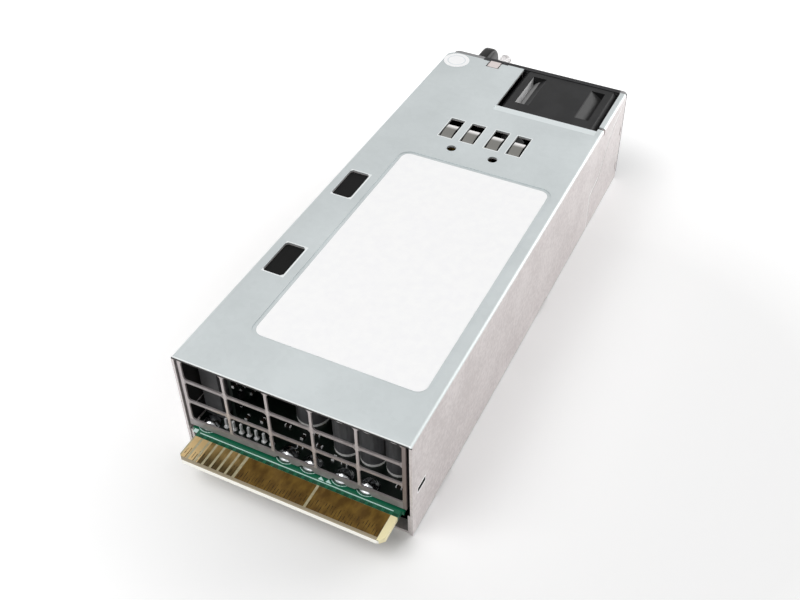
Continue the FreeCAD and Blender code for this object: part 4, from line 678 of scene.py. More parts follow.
class Palette(Enum):
    """The finishes in use."""

    CASE = GalvanisedSheet(
        "galvanised_sheet",
        seam=((-92.5, 37.6), (-76.8, 32.3), (-71.0, 27.3), (-63.0, 18.1), (-54.4, 15.8)),
        slots=((86.9, 17.0, 4.2, 1.0),),
        holes=tuple((x, -41.1, 5.3, 12.0) for x in (13.175, 4.925, -4.275, -12.525))
        + tuple((29.6, y, 7.1, 14.1) for y in (3.25, 44.75)),
    )
    BASE = GalvanisedSheet("galvanised_sheet_of_base", ("#D2C8C6", "#DDD4D2"))
    GRILLE = GrilleSheet()
    # Glass filled polyester: matt black; the walls and slopes in the two pockets of the frame are painted grey, as the
    # light they catch.
    FAN_PLASTIC = MouldedPlastic("glass_filled_polyester", "#161617", "#202021", 0.42, 0.18, patches=(
        Patch("#8A8A8A", (-3.4, -0.6), (-87.0, -67.8), (24.0, 38.4)),
        Patch("#E4E4E4", (-0.6, -0.2), (-87.4, -67.8), (24.0, 38.3)),
        Patch("#383838", (-30.0, -24.1), (-87.4, -67.8), (24.0, 38.4)),
    ))
    # PC and ABS, moulded: satin black, with painted highlights in grey along its two upper corners.
    PANEL_PLASTIC = MouldedPlastic("moulded_pc_abs", "#1B1B1D", "#262628", patches=(
        Patch("#8E8E8F", x=(-37.0, -33.9), z=(38.0, FAR)), Patch("#8E8E8F", x=(22.0, 37.0), z=(38.3, FAR)),
    ))
    HANDLE_PLASTIC = MouldedPlastic("glossy_moulded_nylon", "#070708", "#0C0C0D", 0.2, 0.16, 0.8, 0.004)
    INLET_PLASTIC = MouldedPlastic("moulded_thermoset", "#101011", "#19191B", 0.4)
    EPOXY = MouldedPlastic("moulded_epoxy", "#101011", "#1C1C1D", 0.5)
    RELAY = MouldedPlastic("relay_case", "#48484A", "#5A5A5C", 0.45)
    FERRITE = MouldedPlastic("sintered_ferrite", "#1E1F21", "#2B2C2E", 0.6, 0.3, 0.5, 0.03)
    BLUE_CASE = MouldedPlastic("moulded_case_blue", "#15305E", "#223F72", 0.4)
    YELLOW_CASE = MouldedPlastic("moulded_case_yellow", "#B0871A", "#C79D2C", 0.4)
    TAPE = MouldedPlastic("polyester_tape", "#A97F2A", "#C39B48", 0.25, 0.4, 2.0, 0.02)
    CERAMIC = MouldedPlastic("fuse_ceramic", "#C9C4B6", "#DBD7CB", 0.3, 0.4)
    WHITE_NYLON = MouldedPlastic("moulded_nylon_white", "#D3CFC2", "#E2DFD5", 0.4, 0.4)
    BLACK_FILM = MouldedPlastic("insulating_film", "#080808", "#0D0D0D", 0.5, 0.1, 1.5, 0.01)
    INSULATION = MouldedPlastic("lead_insulation", "#131314", "#1E1E20", 0.45)
    PRINT = MouldedPlastic("screen_printed_ink", "#C4E3DC", "#D8F0EA", 0.6, 0.2, 0.3, 0.01)
    RECESS = MouldedPlastic("recess_shadow", "#0A0A0A", "#121212", 0.8, 0.1)
    # Control card laminate, painted near black as the shade inside the case.
    CARD = MouldedPlastic("card_laminate_in_painted_shade", "#0A130F", "#12201A", 0.35, 0.3, 2.0, 0.02)
    CHIP_BODY = MouldedPlastic("chip_body", "#16130F", "#2B241C", 0.4)
    ZINC = Metal("zinc_plated_steel", "#A2A4A6", "#C6C8C9", 0.32)
    LEVER_STEEL = Metal("rolled_spring_steel", "#8A8B8B", "#B9B9B7", 0.3, 2.0, (1.0, 6.0, 1.0))
    CLIPS = BowedSpring("highlit_spring_strip")
    GROUND = Metal("ground_steel", "#8F9092", "#B9BABC", 0.25)
    NICKEL = Metal("nickel_plated_brass", "#B7B09E", "#DAD5C8", 0.2)
    TIN = Metal("tinned_lead", "#ECEDEE", "#FFFFFF", 0.3, 0.8, metallic=0.2)
    HEATSINK = Metal("extruded_aluminium", "#9A9DA0", "#BFC1C4", 0.42, 0.6, (1.0, 12.0, 1.0))
    COPPER = Metal("enamelled_copper", "#8A4820", "#B66B37", 0.3)
    SOLDER = Metal("reflowed_solder", "#8F9294", "#D2D4D6", 0.16, 1.4)
    SIGNAL_GOLD = HardGold(
        "hard_gold_signal", "#7A6434", "#AB8E58", "#33280F", pale=(Patch("#DABC86", x=(25.8, FAR)),), burnt="#54431F",
    )
    POWER_GOLD = HardGold("hard_gold_power", "#64491A", "#86682C", "#382A10")
    BULK = SleevedCan("sleeved_bulk_can", ("#17181C", "#24252B"), foot=0.0)
    CANS = SleevedCan("sleeved_output_can", rim=24.9)
    LARGE_CAN = SleevedCan("sleeved_filter_can", rim=29.9)
    BOARD = MaskedLaminate()
    LABEL = CoatedPaper("coated_label_paper")
    STICKER = CoatedPaper("coated_sticker_paper", ring=(31.0, -84.6, 39.12))
    CLEAR = ClearPlastic()


MADE: dict[Palette, Material] = {}


def finish(choice: Palette) -> Material:
    """The material of a finish, built when it is first asked for.

    Args:
        choice: the finish.

    Returns:
        Its material.
    """
    if choice not in MADE:
        MADE[choice] = choice.value.material()
    return MADE[choice]


# ------------------------------------------------------------------ repeats


def start_tree(name: str, sizes: dict[str, float]) -> tuple[Tree, Any]:
    """Starts a Geometry Nodes tree that takes places and named sizes.

    Args:
        name: the tree's name.
        sizes: its named sizes, in metres or counts, with their defaults.

    Returns:
        The tree and the sockets of its inputs.
    """
    tree = bpy.data.node_groups.new(name, "GeometryNodeTree")
    tree.interface.new_socket("Places", in_out="INPUT", socket_type="NodeSocketGeometry")
    for label, value in sizes.items():
        whole = isinstance(value, int)
        kind = "NodeSocketInt" if whole else "NodeSocketFloat"
        tree.interface.new_socket(label, in_out="INPUT", socket_type=kind).default_value = value
    tree.interface.new_socket("Finish", in_out="INPUT", socket_type="NodeSocketMaterial")
    tree.interface.new_socket("Pieces", in_out="OUTPUT", socket_type="NodeSocketGeometry")
    return tree, add(tree, "NodeGroupInput").outputs


def end_tree(tree: Tree, sockets: Any, shapes: Node) -> Tree:
    """Ends a tree: its instances made real and given their finish.

    Args:
        tree: the tree.
        sockets: the sockets of its inputs.
        shapes: the node that sets the instances out.

    Returns:
        The tree.
    """
    real = add(tree, "GeometryNodeRealizeInstances", {"Geometry": shapes})
    painted = add(tree, "GeometryNodeSetMaterial", {"Geometry": real, "Material": sockets["Finish"]})
    add(tree, "NodeGroupOutput", {"Pieces": painted})
    return tree


def mound_tree() -> Tree:
    """Domed solder joints: a round dome whose foot flares out where the solder wets its pad.

    Returns:
        The tree.
    """
    crown, steepness = 0.97, 7.0
    tree, sockets = start_tree("solder_joints", {"Radius": 0.002, "Height": 0.002, "Flare": 0.0008})
    can = add(
        tree, "GeometryNodeMeshCylinder",
        {"Vertices": 20, "Side Segments": 6, "Fill Segments": 1, "Radius": 1.0, "Depth": 1.0}, fill_type="TRIANGLE_FAN",
    ).outputs["Mesh"]
    place = add(tree, "ShaderNodeSeparateXYZ", {"Vector": add(tree, "GeometryNodeInputPosition")}).outputs
    level = add(tree, "ShaderNodeMath", {0: place["Z"], 1: 0.5}, operation="ADD")
    square = add(tree, "ShaderNodeMath", {0: level, 1: level}, operation="MULTIPLY")
    left = add(tree, "ShaderNodeMath", {0: square, 1: -crown, 2: 1.0}, operation="MULTIPLY_ADD")
    dome = add(tree, "ShaderNodeMath", {0: left, 1: 0.5}, operation="POWER")
    under = add(tree, "ShaderNodeMath", {0: 1.0, 1: level}, operation="SUBTRACT")
    foot = add(tree, "ShaderNodeMath", {0: under, 1: steepness}, operation="POWER")
    flare = add(tree, "ShaderNodeMath", {0: foot, 1: sockets["Flare"]}, operation="MULTIPLY")
    reach = add(tree, "ShaderNodeMath", {0: dome, 1: sockets["Radius"], 2: flare}, operation="MULTIPLY_ADD")
    spot = add(tree, "ShaderNodeCombineXYZ", {
        axis: add(tree, "ShaderNodeMath", {0: place[axis], 1: reach}, operation="MULTIPLY") for axis in "XY"
    } | {"Z": add(tree, "ShaderNodeMath", {0: level, 1: sockets["Height"]}, operation="MULTIPLY")})
    shaped = add(tree, "GeometryNodeSetPosition", {"Geometry": can, "Position": spot})
    smooth = add(tree, "GeometryNodeSetShadeSmooth", {"Geometry": shaped})
    set_out = add(tree, "GeometryNodeInstanceOnPoints", {"Points": sockets["Places"], "Instance": smooth})
    return end_tree(tree, sockets, set_out)


def cross_tree() -> Tree:
    """Dark crosses on screw heads, painted shade standing for their cross recesses, tapering in two steps towards their
    ends.

    Returns:
        The tree.
    """
    steps = ((1.0, 1.0), (0.6, 1.6))  # Shares of the length and of the width.
    tree, sockets = start_tree(
        "cross_recess_shades", {"Length": 0.0026, "Width": 0.0006, "Depth": 0.0001, "Tip": 0.0, "Side": 0.0}
    )
    bars = add(tree, "GeometryNodeJoinGeometry")
    for axis in (0, 1):
        for share, wider in steps:
            long = add(tree, "ShaderNodeMath", {0: sockets["Length"], 1: share}, operation="MULTIPLY")
            wide = add(tree, "ShaderNodeMath", {0: sockets["Width"], 1: wider}, operation="MULTIPLY")
            sides = (long, wide) if axis else (wide, long)
            size = add(tree, "ShaderNodeCombineXYZ", {0: sides[0], 1: sides[1], 2: sockets["Depth"]})
            cube = add(tree, "GeometryNodeMeshCube", {"Size": size}).outputs["Mesh"]
            tree.links.new(cube, bars.inputs[0])
    turn = add(tree, "ShaderNodeCombineXYZ", {"X": sockets["Tip"], "Y": sockets["Side"]})
    places = {"Points": sockets["Places"], "Instance": bars, "Rotation": turn}
    set_out = add(tree, "GeometryNodeInstanceOnPoints", places)
    return end_tree(tree, sockets, set_out)


def chip_tree(name: str, ends: bool) -> Tree:
    """Small surface mounted chips strewn over the given faces, none nearer to another than the spacing.

    Args:
        name: the tree's name.
        ends: whether it makes the tinned ends or the bodies between them.

    Returns:
        The tree.
    """
    proud, density = 1.06, 160000.0  # The ends' size against the bodies', and tries for each square metre.
    tree, sockets = start_tree(
        name, {"Length": 0.0016, "Width": 0.0008, "Height": 0.0006, "Spacing": 0.0026, "Seed": 7, "End": 0.0003}
    )
    spots = add(
        tree, "GeometryNodeDistributePointsOnFaces",
        {
            "Mesh": sockets["Places"], "Distance Min": sockets["Spacing"], "Density Max": density,
            "Seed": sockets["Seed"],
        },
        distribute_method="POISSON",
    )
    chip = add(tree, "GeometryNodeJoinGeometry")
    for side in (-1, 1) if ends else (0,):
        reach = add(tree, "ShaderNodeMath", {0: sockets["Length"], 1: side * 0.5}, operation="MULTIPLY")
        long = sockets["End"] if ends else sockets["Length"]
        share = proud if ends else 1.0
        wide = add(tree, "ShaderNodeMath", {0: sockets["Width"], 1: share}, operation="MULTIPLY")
        high = add(tree, "ShaderNodeMath", {0: sockets["Height"], 1: share}, operation="MULTIPLY")
        size = add(tree, "ShaderNodeCombineXYZ", {"X": long, "Y": wide, "Z": high})
        cube = add(tree, "GeometryNodeMeshCube", {"Size": size}).outputs["Mesh"]
        lift = add(tree, "ShaderNodeMath", {0: high, 1: 0.5}, operation="MULTIPLY")
        shift = add(tree, "ShaderNodeCombineXYZ", {"X": reach, "Z": lift})
        moved = add(tree, "GeometryNodeTransform", {"Geometry": cube, "Translation": shift}).outputs[0]
        tree.links.new(moved, chip.inputs[0])
    quarter = add(tree, "FunctionNodeRandomValue", {4: 0, 5: 1, "Seed": sockets["Seed"]}, data_type="INT").outputs[2]
    angle = add(tree, "ShaderNodeMath", {0: quarter, 1: math.pi / 2}, operation="MULTIPLY")
    spin = add(tree, "ShaderNodeCombineXYZ", {"Z": angle})
    set_out = add(
        tree, "GeometryNodeInstanceOnPoints",
        {"Points": spots.outputs["Points"], "Instance": chip, "Rotation": spots.outputs["Rotation"]},
    )
    turned = add(tree, "GeometryNodeRotateInstances", {"Instances": set_out, "Rotation": spin})
    return end_tree(tree, sockets, turned)


def winding_tree() -> Tree:
    """Turns of round wire wound through a ring core.

    Returns:
        The tree.
    """
    tree, sockets = start_tree(
        "ring_windings",
        {"Turns": 16, "Ring radius": 0.00775, "Wire radius": 0.0005, "Across": 0.0055, "High": 0.0102, "Corner": 0.001},
    )
    sides = {"Width": sockets["Across"], "Height": sockets["High"]}
    loop = add(tree, "GeometryNodeCurvePrimitiveQuadrilateral", sides)
    loop = add(tree, "GeometryNodeFilletCurve", {"Curve": loop, "Radius": sockets["Corner"], "Count": 3}, mode="POLY")
    wire = add(tree, "GeometryNodeCurvePrimitiveCircle", {"Resolution": 8, "Radius": sockets["Wire radius"]})
    turn = add(tree, "GeometryNodeCurveToMesh", {"Curve": loop, "Profile Curve": wire})
    upright = add(tree, "GeometryNodeTransform", {"Geometry": turn, "Rotation": (math.pi / 2, 0.0, 0.0)})
    ring = add(tree, "GeometryNodeMeshCircle", {"Vertices": sockets["Turns"], "Radius": sockets["Ring radius"]})
    step = add(tree, "ShaderNodeMath", {0: math.tau, 1: sockets["Turns"]}, operation="DIVIDE")
    index = add(tree, "GeometryNodeInputIndex")
    angle = add(tree, "ShaderNodeMath", {0: index, 1: step}, operation="MULTIPLY")
    spin = add(tree, "ShaderNodeCombineXYZ", {"Z": angle})
    turns = add(tree, "GeometryNodeInstanceOnPoints", {"Points": ring, "Instance": upright, "Rotation": spin})
    whole = add(tree, "GeometryNodeRealizeInstances", {"Geometry": turns})
    smooth = add(tree, "GeometryNodeSetShadeSmooth", {"Geometry": whole})
    set_out = add(tree, "GeometryNodeInstanceOnPoints", {"Points": sockets["Places"], "Instance": smooth})
    return end_tree(tree, sockets, set_out)


def put(name: str, data: Any) -> Object:
    """Puts a new object with the given data into the scene."""
    thing = bpy.data.objects.new(name, data)
    bpy.context.scene.collection.objects.link(thing)
    return thing


def grow(
    name: str, tree: Tree, choice: Palette, places: Sequence[Point], sizes: dict[str, float] | None = None,
    faces: Sequence[Sequence[int]] = (),
) -> Object:
    """Runs a tree once on the given places and keeps the result as a plain mesh.

    Args:
        name: the piece's name.
        tree: the Geometry Nodes tree.
        choice: the piece's finish.
        places: points in millimetres.
        sizes: millimetres, radians or counts for the tree's named inputs.
        faces: faces between the points, where the tree strews things over them.

    Returns:
        The piece.
    """
    mesh = bpy.data.meshes.new(f"{name}_places")
    mesh.from_pydata([[c * MM for c in place] for place in places], [], [list(face) for face in faces])
    host = put(f"{name}_places", mesh)
    modifier = host.modifiers.new("repeat", "NODES")
    modifier.node_group = tree
    named = {item.name: item.identifier for item in tree.interface.items_tree if item.in_out == "INPUT"}
    modifier[named["Finish"]] = finish(choice)
    for label, value in (sizes or {}).items():
        modifier[named[label]] = value
    graph = bpy.context.evaluated_depsgraph_get()
    plain = bpy.data.meshes.new_from_object(host.evaluated_get(graph), preserve_all_data_layers=True, depsgraph=graph)
    plain.name = name
    bpy.data.objects.remove(host)
    return put(name, plain)


# ------------------------------------------------------------------ sub-assemblies


def keep(piece: Object, *replaced: str, body: str = "housing") -> None:
    """Hands a finished piece to the frame.

    Args:
        piece: the piece.
        replaced: the CAD nodes that it stands for.
        body: the body that it rides on.
    """
    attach(piece, body)
    if replaced:
        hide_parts(*replaced)
    LOG.info("%s: %d faces on %s", piece.name, len(piece.data.polygons), body)


def meshed(name: str, shape: bmesh.types.BMesh, choice: Palette) -> Object:
    """Turns a finished bmesh into a piece.

    Args:
        name: the piece's name.
        shape: its shape in metres, which is freed.
        choice: its finish.

    Returns:
        The piece.
    """
    bmesh.ops.recalc_face_normals(shape, faces=shape.faces)
    mesh = bpy.data.meshes.new(name)
    shape.to_mesh(mesh)
    shape.free()
    mesh.materials.append(finish(choice))
    return put(name, mesh)


def prism(shape: bmesh.types.BMesh, outline: Iterable[Point], push: Point) -> None:
    """Adds a flat outline pushed along a direction.

    Args:
        shape: the bmesh that gets it.
        outline: its corners in millimetres.
        push: how far it is pushed along each axis, in millimetres.
    """
    face = shape.faces.new([shape.verts.new(Vector(corner) * MM) for corner in outline])
    pushed = bmesh.ops.extrude_face_region(shape, geom=[face])["geom"]
    moved = [item for item in pushed if isinstance(item, bmesh.types.BMVert)]
    bmesh.ops.translate(shape, verts=moved, vec=Vector(push) * MM)


def corner_arc(centre: Span, radius: float, start: float, steps: int = 8) -> list[Span]:
    """Points of a quarter circle, turning left from the start angle in degrees."""
    angles = [math.radians(start + 90 * k / steps) for k in range(steps + 1)]
    return [(centre[0] + radius * math.cos(a), centre[1] + radius * math.sin(a)) for a in angles]


@dataclass
class CardEdge:
    """Rear end of the board: solder joints, tinned pins and the printed marks beside the contacts.

    A joint is given by its radius, its height and how far its foot flares. Each arrowhead is drawn from its tip, and
    only the part of a ring that lies past the joint's rear is printed.
    """

    mounds: tuple[float, ...] = (30.2, 4.0, -3.7, -13.8, -21.7)
    mound_along: float = 89.3
    mound_joint: Point = (2.4, 2.0, 0.9)
    pin_first: float = 25.4
    pin_pitch: float = 2.54
    pin_count: int = 7
    pin_along: float = 88.4
    pin_joint: Point = (0.6, 0.8, 0.3)
    line_along: float = 93.75
    line_width: float = 0.28
    line_ends: Span = (-31.6, 31.0)
    square: tuple[Span, Span] = ((31.9, 33.3), (92.9, 94.2))
    arrows: tuple[float, ...] = (-8.2, -10.6)
    arrow: tuple[Span, ...] = ((0.0, 92.2), (-1.5, 93.3), (0.4, 93.3))
    ring: Span = (3.5, 3.7)
    ring_dashes: int = 24
    ring_dash: float = 0.9
    ring_from: float = 2.2
    ink: float = 0.03

    def build(self) -> None:
        """Makes the joints and the marks."""
        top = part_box("solder_mounds")[0].z / MM
        tree = mound_tree()
        labels = ("Radius", "Height", "Flare")
        joint, pin_joint = (
            {label: size * MM for label, size in zip(labels, sizes)} for sizes in (self.mound_joint, self.pin_joint)
        )
        mounds = [(x, self.mound_along, top) for x in self.mounds]
        keep(grow("solder_joints", tree, Palette.SOLDER, mounds, joint), "solder_mounds")
        pins = [(self.pin_first - k * self.pin_pitch, self.pin_along, top) for k in range(self.pin_count)]
        keep(grow("pin_joints", tree, Palette.TIN, pins, pin_joint))
        keep(self.marks(top))

    def marks(self, top: float) -> Object:
        """Printed line along the contacts, a square at its end, rings round the joints and two arrowheads.

        Args:
            top: the board's upper face in millimetres.

        Returns:
            The piece.
        """
        shape = bmesh.new()
        up = (0.0, 0.0, self.ink)
        half = self.line_width / 2
        line = (self.line_ends, (self.line_along - half, self.line_along + half))
        for (left, right), (low, high) in (line, self.square):
            prism(shape, [(left, low, top), (right, low, top), (right, high, top), (left, high, top)], up)
        for tip in self.arrows:
            prism(shape, [(tip + across, along, top) for across, along in self.arrow], up)
        for across in self.mounds:
            for step in range(self.ring_dashes):
                ends = [math.tau * (step + k) / self.ring_dashes for k in (0.0, self.ring_dash)]
                corners = [
                    (across + r * math.cos(a), self.mound_along + r * math.sin(a), top)
                    for r, angles in zip(self.ring, (ends, ends[::-1])) for a in angles
                ]
                if self.ring[1] * math.sin(ends[0]) > self.ring_from:
                    prism(shape, corners, up)
        return meshed("printed_marks", shape, Palette.PRINT)


@dataclass
class SmallParts:
    """Surface mounted chips on the control card and in two fields, across and along, at the board's output end."""

    spacing: float = 2.7
    seed: int = 7
    card_along: Span = (62.0, 83.0)
    card_margins: Span = (2.0, 1.0)
    board_fields: tuple[tuple[Span, Span], ...] = (((-4.0, 22.5), (80.0, 86.0)), ((-33.0, -6.0), (85.2, 86.4)))

    def build(self) -> None:
        """Strews the chips."""
        low, high = (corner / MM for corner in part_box("control_card"))
        card, (start, end) = low.x, self.card_along
        foot, head = low.z + self.card_margins[0], high.z - self.card_margins[1]
        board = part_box("solder_mounds")[0].z / MM
        fields = [[(card, start, foot), (card, start, head), (card, end, head), (card, end, foot)]]
        for (left, right), (near, far) in self.board_fields:
            fields.append([(left, near, board), (right, near, board), (right, far, board), (left, far, board)])
        places = [corner for field in fields for corner in field]
        faces = [[4 * k + i for i in range(4)] for k in range(len(fields))]
        sizes = {"Spacing": self.spacing * MM, "Seed": self.seed}
        for name, ends, choice in (("chip_bodies", False, Palette.CHIP_BODY), ("chip_ends", True, Palette.TIN)):
            keep(grow(name, chip_tree(name, ends), choice, places, sizes, faces))


@dataclass
class Chokes:
    """Enamelled wire wound on the two ring cores, each turn a little wider and higher than the core's section."""

    wire_radius: float = 0.48
    power_turns: int = 16
    filter_turns: int = 14
    bore: float = 5.5
    turn_room: Span = (1.0, 1.1)

    def build(self) -> None:
        """Winds both rings."""
        tree = winding_tree()
        for node, turns in (("pfc_choke", self.power_turns), ("filter_choke", self.filter_turns)):
            low, high = (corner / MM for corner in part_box(f"{node}_core"))
            middle = (low + high) / 2
            outer = (high.x - low.x) / 2
            sizes = {
                "Turns": turns, "Ring radius": (outer + self.bore) / 2 * MM, "Wire radius": self.wire_radius * MM,
                "Across": (outer - self.bore + self.turn_room[0]) * MM,
                "High": (high.z - low.z + self.turn_room[1]) * MM,
            }
            keep(grow(f"{node}_turns", tree, Palette.COPPER, [tuple(middle)], sizes), f"{node}_winding")


@dataclass
class Fasteners:
    """Painted shade of the cross recesses of the fan's and the cover's screws: thin dark crosses on their heads."""

    head_radius: float = 2.5
    length: float = 2.7
    width: float = 0.55
    depth: float = 0.04
    proud: float = 0.02

    def build(self) -> None:
        """Lays a dark cross, the painted shade of a recess, on every visible head."""
        tree = cross_tree()
        low, high = (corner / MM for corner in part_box("fan_screws"))
        fan = [
            (x, low.y - self.proud, z)
            for x in (low.x + self.head_radius, high.x - self.head_radius)
            for z in (low.z + self.head_radius, high.z - self.head_radius)
        ]
        size = {"Length": self.length * MM, "Width": self.width * MM, "Depth": self.depth * MM}
        keep(grow("fan_screw_recess_shades", tree, Palette.RECESS, fan, size | {"Tip": math.pi / 2}))
        low, high = (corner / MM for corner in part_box("cover_screws"))
        reach = (high.z - low.z) / 2
        cover = [(high.x + self.proud, y, low.z + reach) for y in (low.y + reach, high.y - reach)]
        keep(grow("cover_screw_recess_shades", tree, Palette.RECESS, cover, size | {"Side": math.pi / 2}))


@dataclass
class LeafSpring:
    """Bowed leaf behind the lever, at the height it is pressed to, so the lever keeps its room to swing."""

    travel: float = 1.45
    thick: float = 0.35
    steps: int = 20

    def build(self) -> None:
        """Makes the leaf between its two feet on the base."""
        low, high = (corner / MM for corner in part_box("lever_spring"))
        middle, reach = (low.y + high.y) / 2, (high.y - low.y) / 2
        rise = high.x - low.x - self.thick - self.travel
        shares = [2 * k / self.steps - 1 for k in range(self.steps + 1)]
        bow = [(low.x + rise * (1 - t * t), middle + reach * t) for t in shares]
        shape = bmesh.new()
        section = ((0.0, low.z), (self.thick, low.z), (self.thick, high.z), (0.0, high.z))
        rings = [[shape.verts.new(Vector((x + push, y, z)) * MM) for push, z in section] for x, y in bow]
        for before, after in zip(rings, rings[1:]):
            for k in range(4):
                shape.faces.new((before[k], before[(k + 1) % 4], after[(k + 1) % 4], after[k]))
        shape.faces.new(rings[0])
        shape.faces.new(rings[-1])
        keep(meshed("pressed_leaf_spring", shape, Palette.LEVER_STEEL), "lever_spring")


@dataclass
class PullHandle:
    """Moulded loop handle with well rounded edges."""

    bar: float = 4.6
    web: float = 5.8
    outer_round: float = 6.8
    inner_round: float = 3.2
    edge: float = 1.5
    edge_steps: int = 4
    sharpest: float = 50.0

    def build(self) -> None:
        """Makes the loop and rounds its edges."""
        low, high = (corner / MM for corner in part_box("pull_handle"))
        tip, root, floor, roof = low.y, high.y, low.z, high.z
        r, q = self.outer_round, self.inner_round
        outer = corner_arc((tip + r, roof - r), r, 90) + corner_arc((tip + r, floor + r), r, 180)
        near, under, over = tip + self.bar, floor + self.web, roof - self.web
        inner = corner_arc((near + q, over - q), q, 90) + corner_arc((near + q, under + q), q, 180)
        outline = [(root, roof), *outer, (root, floor), (root, under), *inner[::-1], (root, over)]
        shape = bmesh.new()
        prism(shape, [(low.x, y, z) for y, z in outline], (high.x - low.x, 0.0, 0.0))
        piece = meshed("rounded_handle", shape, Palette.HANDLE_PLASTIC)
        rounding = piece.modifiers.new("rounded_edges", "BEVEL")
        rounding.width = self.edge * MM
        rounding.segments = self.edge_steps
        rounding.limit_method = "ANGLE"
        rounding.angle_limit = math.radians(self.sharpest)
        piece.data.shade_smooth()
        keep(piece, "pull_handle")


# ------------------------------------------------------------------ studio


@dataclass
class Studio:
    """Plain pale floor, soft lamps, pale surroundings and the camera, in metres.

    The floor shines where it is seen, the less the nearer to the shaded spot, so that it is darker there: painted
    shade over the object's cast shadow. Each lamp has a name, a place, a width and its watts.
    """

    eye: Point = (-0.10930, 0.23488, 0.24465)
    right: Point = (-0.911822, -0.410032, 0.021323)
    up: Point = (0.283729, -0.591711, 0.75457)
    focal: float = 45.66
    shift: Span = (-0.075, -0.065)
    floor_side: float = 6.0
    floor_glow: Span = (0.08, 1.0)
    shaded_spot: Point = (-0.06, 0.03, 0.0)
    glow_reach: Span = (0.08, 0.38)
    world_level: float = 0.36
    lamps: tuple[tuple[str, Point, float, float], ...] = (
        ("overhead", (0.32, 0.44, 0.82), 0.6, 4.6),
        ("front", (-0.45, -0.62, 0.3), 0.6, 3.7),
        ("rear", (-0.35, 0.9, 0.55), 0.8, 1.0),
    )

    def build(self) -> None:
        """Makes everything that isn't the object."""
        self.camera()
        self.floor()
        self.world()
        for lamp in self.lamps:
            self.lamp(*lamp)

    def camera(self) -> None:
        """Adds the camera."""
        data = bpy.data.cameras.new("camera")
        data.sensor_width = 36.0
        data.lens = self.focal
        data.shift_x, data.shift_y = self.shift
        data.clip_start, data.clip_end = 0.01, 20.0
        camera = put("camera", data)
        right, up = Vector(self.right).normalized(), Vector(self.up).normalized()
        turn = Matrix((right, up, right.cross(up))).transposed().to_4x4()
        camera.matrix_world = Matrix.Translation(self.eye) @ turn
        bpy.context.scene.camera = camera

    def seen(self, tree: Tree) -> Node:
        """Where the surroundings are looked at.

        Args:
            tree: the tree that gets the nodes.

        Returns:
            A value that is 1 where they are seen straight, in a gloss or through glass.
        """
        rays = add(tree, "ShaderNodeLightPath").outputs
        first = add(tree, "ShaderNodeMath", {0: rays["Is Camera Ray"], 1: rays["Is Glossy Ray"]}, operation="ADD")
        return add(
            tree, "ShaderNodeMath", {0: first, 1: rays["Is Transmission Ray"]}, operation="ADD", use_clamp=True
        )

    def floor(self) -> None:
        """Adds the pale floor, which keeps the object's shadow."""
        mesh = bpy.data.meshes.new("floor")
        half = self.floor_side / 2
        corners = [(-half, -half, 0), (half, -half, 0), (half, half, 0), (-half, half, 0)]
        mesh.from_pydata(corners, [], [(0, 1, 2, 3)])
        floor = put("floor", mesh)
        floor.location.z = -0.0002
        made = Surface("studio_floor", 0.9)
        made.shader.inputs["Base Color"].default_value = linear("#F2F2F2")
        made.shader.inputs["Specular IOR Level"].default_value = 0.0
        made.shader.inputs["Emission Color"].default_value = (1, 1, 1, 1)
        away = add(made.tree, "ShaderNodeVectorMath", {0: made.place, 1: self.shaded_spot}, operation="DISTANCE")
        rise = add(made.tree, "ShaderNodeMapRange", {
            "Value": away.outputs["Value"], "From Min": self.glow_reach[0], "From Max": self.glow_reach[1],
            "To Min": self.floor_glow[0], "To Max": self.floor_glow[1],
        })
        glow = add(made.tree, "ShaderNodeMath", {0: self.seen(made.tree), 1: rise}, operation="MULTIPLY")
        made.feed("Emission Strength", glow.outputs[0])
        mesh.materials.append(made.material)

    def world(self) -> None:
        """Adds the pale surroundings: white where seen, softer as light."""
        world = bpy.data.worlds.new("surroundings")
        bpy.context.scene.world = world
        world.use_nodes = True
        tree = world.node_tree
        tree.nodes.clear()
        level = add(tree, "ShaderNodeMapRange", {"Value": self.seen(tree), "To Min": self.world_level, "To Max": 1.0})
        sky = add(tree, "ShaderNodeBackground", {"Color": (1, 1, 1, 1), "Strength": level})
        add(tree, "ShaderNodeOutputWorld", {"Surface": sky})

    def lamp(self, name: str, place: Point, side: float, power: float) -> None:
        """Adds one soft square lamp aimed at the object's middle.

        Args:
            name: the lamp's name.
            place: where it hangs, in metres.
            side: its width in metres.
            power: its watts.
        """
        data = bpy.data.lights.new(name, "AREA")
        data.shape = "SQUARE"
        data.size = side
        data.energy = power
        lamp = put(name, data)
        aim = Vector((0, 0, 0.02)) - Vector(place)
        lamp.matrix_world = Matrix.Translation(place) @ aim.to_track_quat("-Z", "Y").to_matrix().to_4x4()


# ------------------------------------------------------------------ main


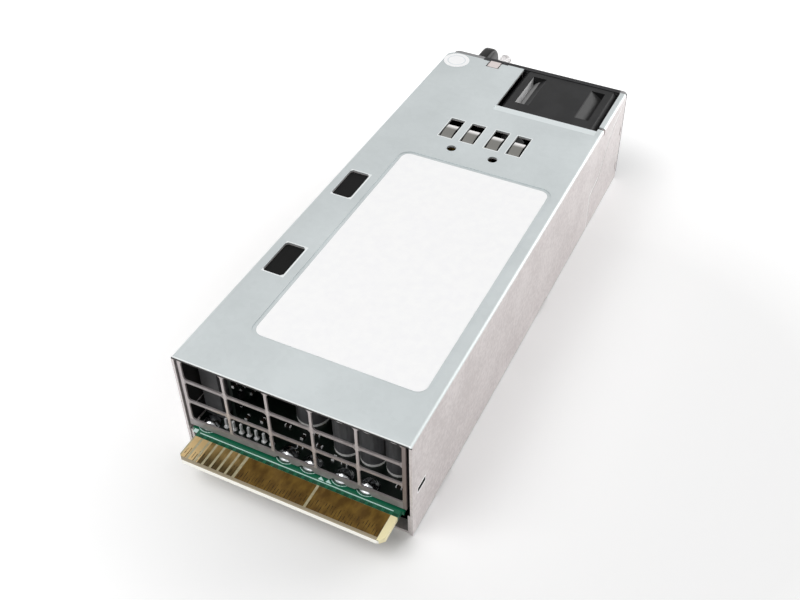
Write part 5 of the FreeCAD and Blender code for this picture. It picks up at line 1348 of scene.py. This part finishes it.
NODE_FINISHES: dict[Palette, tuple[str, ...]] = {
    Palette.CASE: ("top_cover",),
    Palette.BASE: ("chassis_base", "inlet_bracket"),
    Palette.GRILLE: ("rear_grille",),
    Palette.FAN_PLASTIC: ("fan_frame", "fan_rotor"),
    Palette.PANEL_PLASTIC: ("front_panel",),
    Palette.HANDLE_PLASTIC: ("pull_handle", "thumb_tab"),
    Palette.INLET_PLASTIC: ("inlet_housing",),
    Palette.EPOXY: ("control_card_parts", "power_transistors", "bridge_rectifier"),
    Palette.RELAY: ("output_relay",),
    Palette.FERRITE: ("pfc_choke_core", "filter_choke_core", "transformer_core"),
    Palette.BULK: ("bulk_capacitor",),
    Palette.BLUE_CASE: ("inrush_relay",),
    Palette.YELLOW_CASE: ("x_capacitor",),
    Palette.TAPE: ("transformer_winding", "resonant_choke", "standby_transformer"),
    Palette.CERAMIC: ("mains_fuse",),
    Palette.WHITE_NYLON: ("fan_plug",),
    Palette.BLACK_FILM: ("base_insulator", "lid_insulator"),
    Palette.INSULATION: ("inlet_leads", "fan_leads"),
    Palette.ZINC: ("cover_screws", "fan_screws", "handle_screws", "board_screws", "pivot_pin", "finger_guard"),
    Palette.LEVER_STEEL: ("release_lever", "lever_spring"),
    Palette.CLIPS: ("contact_clips",),
    Palette.GROUND: ("fan_shaft", "fan_bearings", "fan_stator"),
    Palette.NICKEL: ("inlet_pins", "board_standoffs"),
    Palette.CANS: ("output_capacitors",),
    Palette.LARGE_CAN: ("filter_capacitor",),
    Palette.HEATSINK: ("transistor_heatsink", "rectifier_heatsink"),
    Palette.COPPER: ("pfc_choke_winding", "filter_choke_winding", "output_bus_bars"),
    Palette.SOLDER: ("solder_mounds",),
    Palette.TIN: ("header_pins",),
    Palette.SIGNAL_GOLD: ("signal_contacts",),
    Palette.POWER_GOLD: ("power_contacts",),
    Palette.BOARD: ("main_board",),
    Palette.CARD: ("control_card", "status_lamp"),
    Palette.LABEL: ("rating_label",),
    Palette.STICKER: ("round_sticker",),
    Palette.CLEAR: ("light_pipe",),
}


def dress_nodes(nodes: dict[str, Object]) -> None:
    """Gives every CAD node its finish.

    Args:
        nodes: the CAD nodes by name.
    """
    for choice, names in NODE_FINISHES.items():
        for name in names:
            nodes[name].data.materials.clear()
            nodes[name].data.materials.append(finish(choice))
    bare = sorted(set(nodes) - {name for names in NODE_FINISHES.values() for name in names})
    if bare:
        raise RuntimeError(f"nodes without a finish: {bare}")


def main() -> None:
    """Loads the frame, dresses it and lights it."""
    logging.basicConfig(level=logging.INFO, format="%(name)s: %(message)s")
    bpy.ops.wm.read_factory_settings(use_empty=True)
    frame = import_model()
    bpy.context.scene.view_settings.view_transform = "Standard"
    dress_nodes(frame["nodes"])
    LOG.info("dressed %d nodes", len(frame["nodes"]))
    for part in (CardEdge(), SmallParts(), Chokes(), Fasteners(), LeafSpring(), PullHandle()):
        part.build()
    Studio().build()


if __name__ == "__main__":
    main()
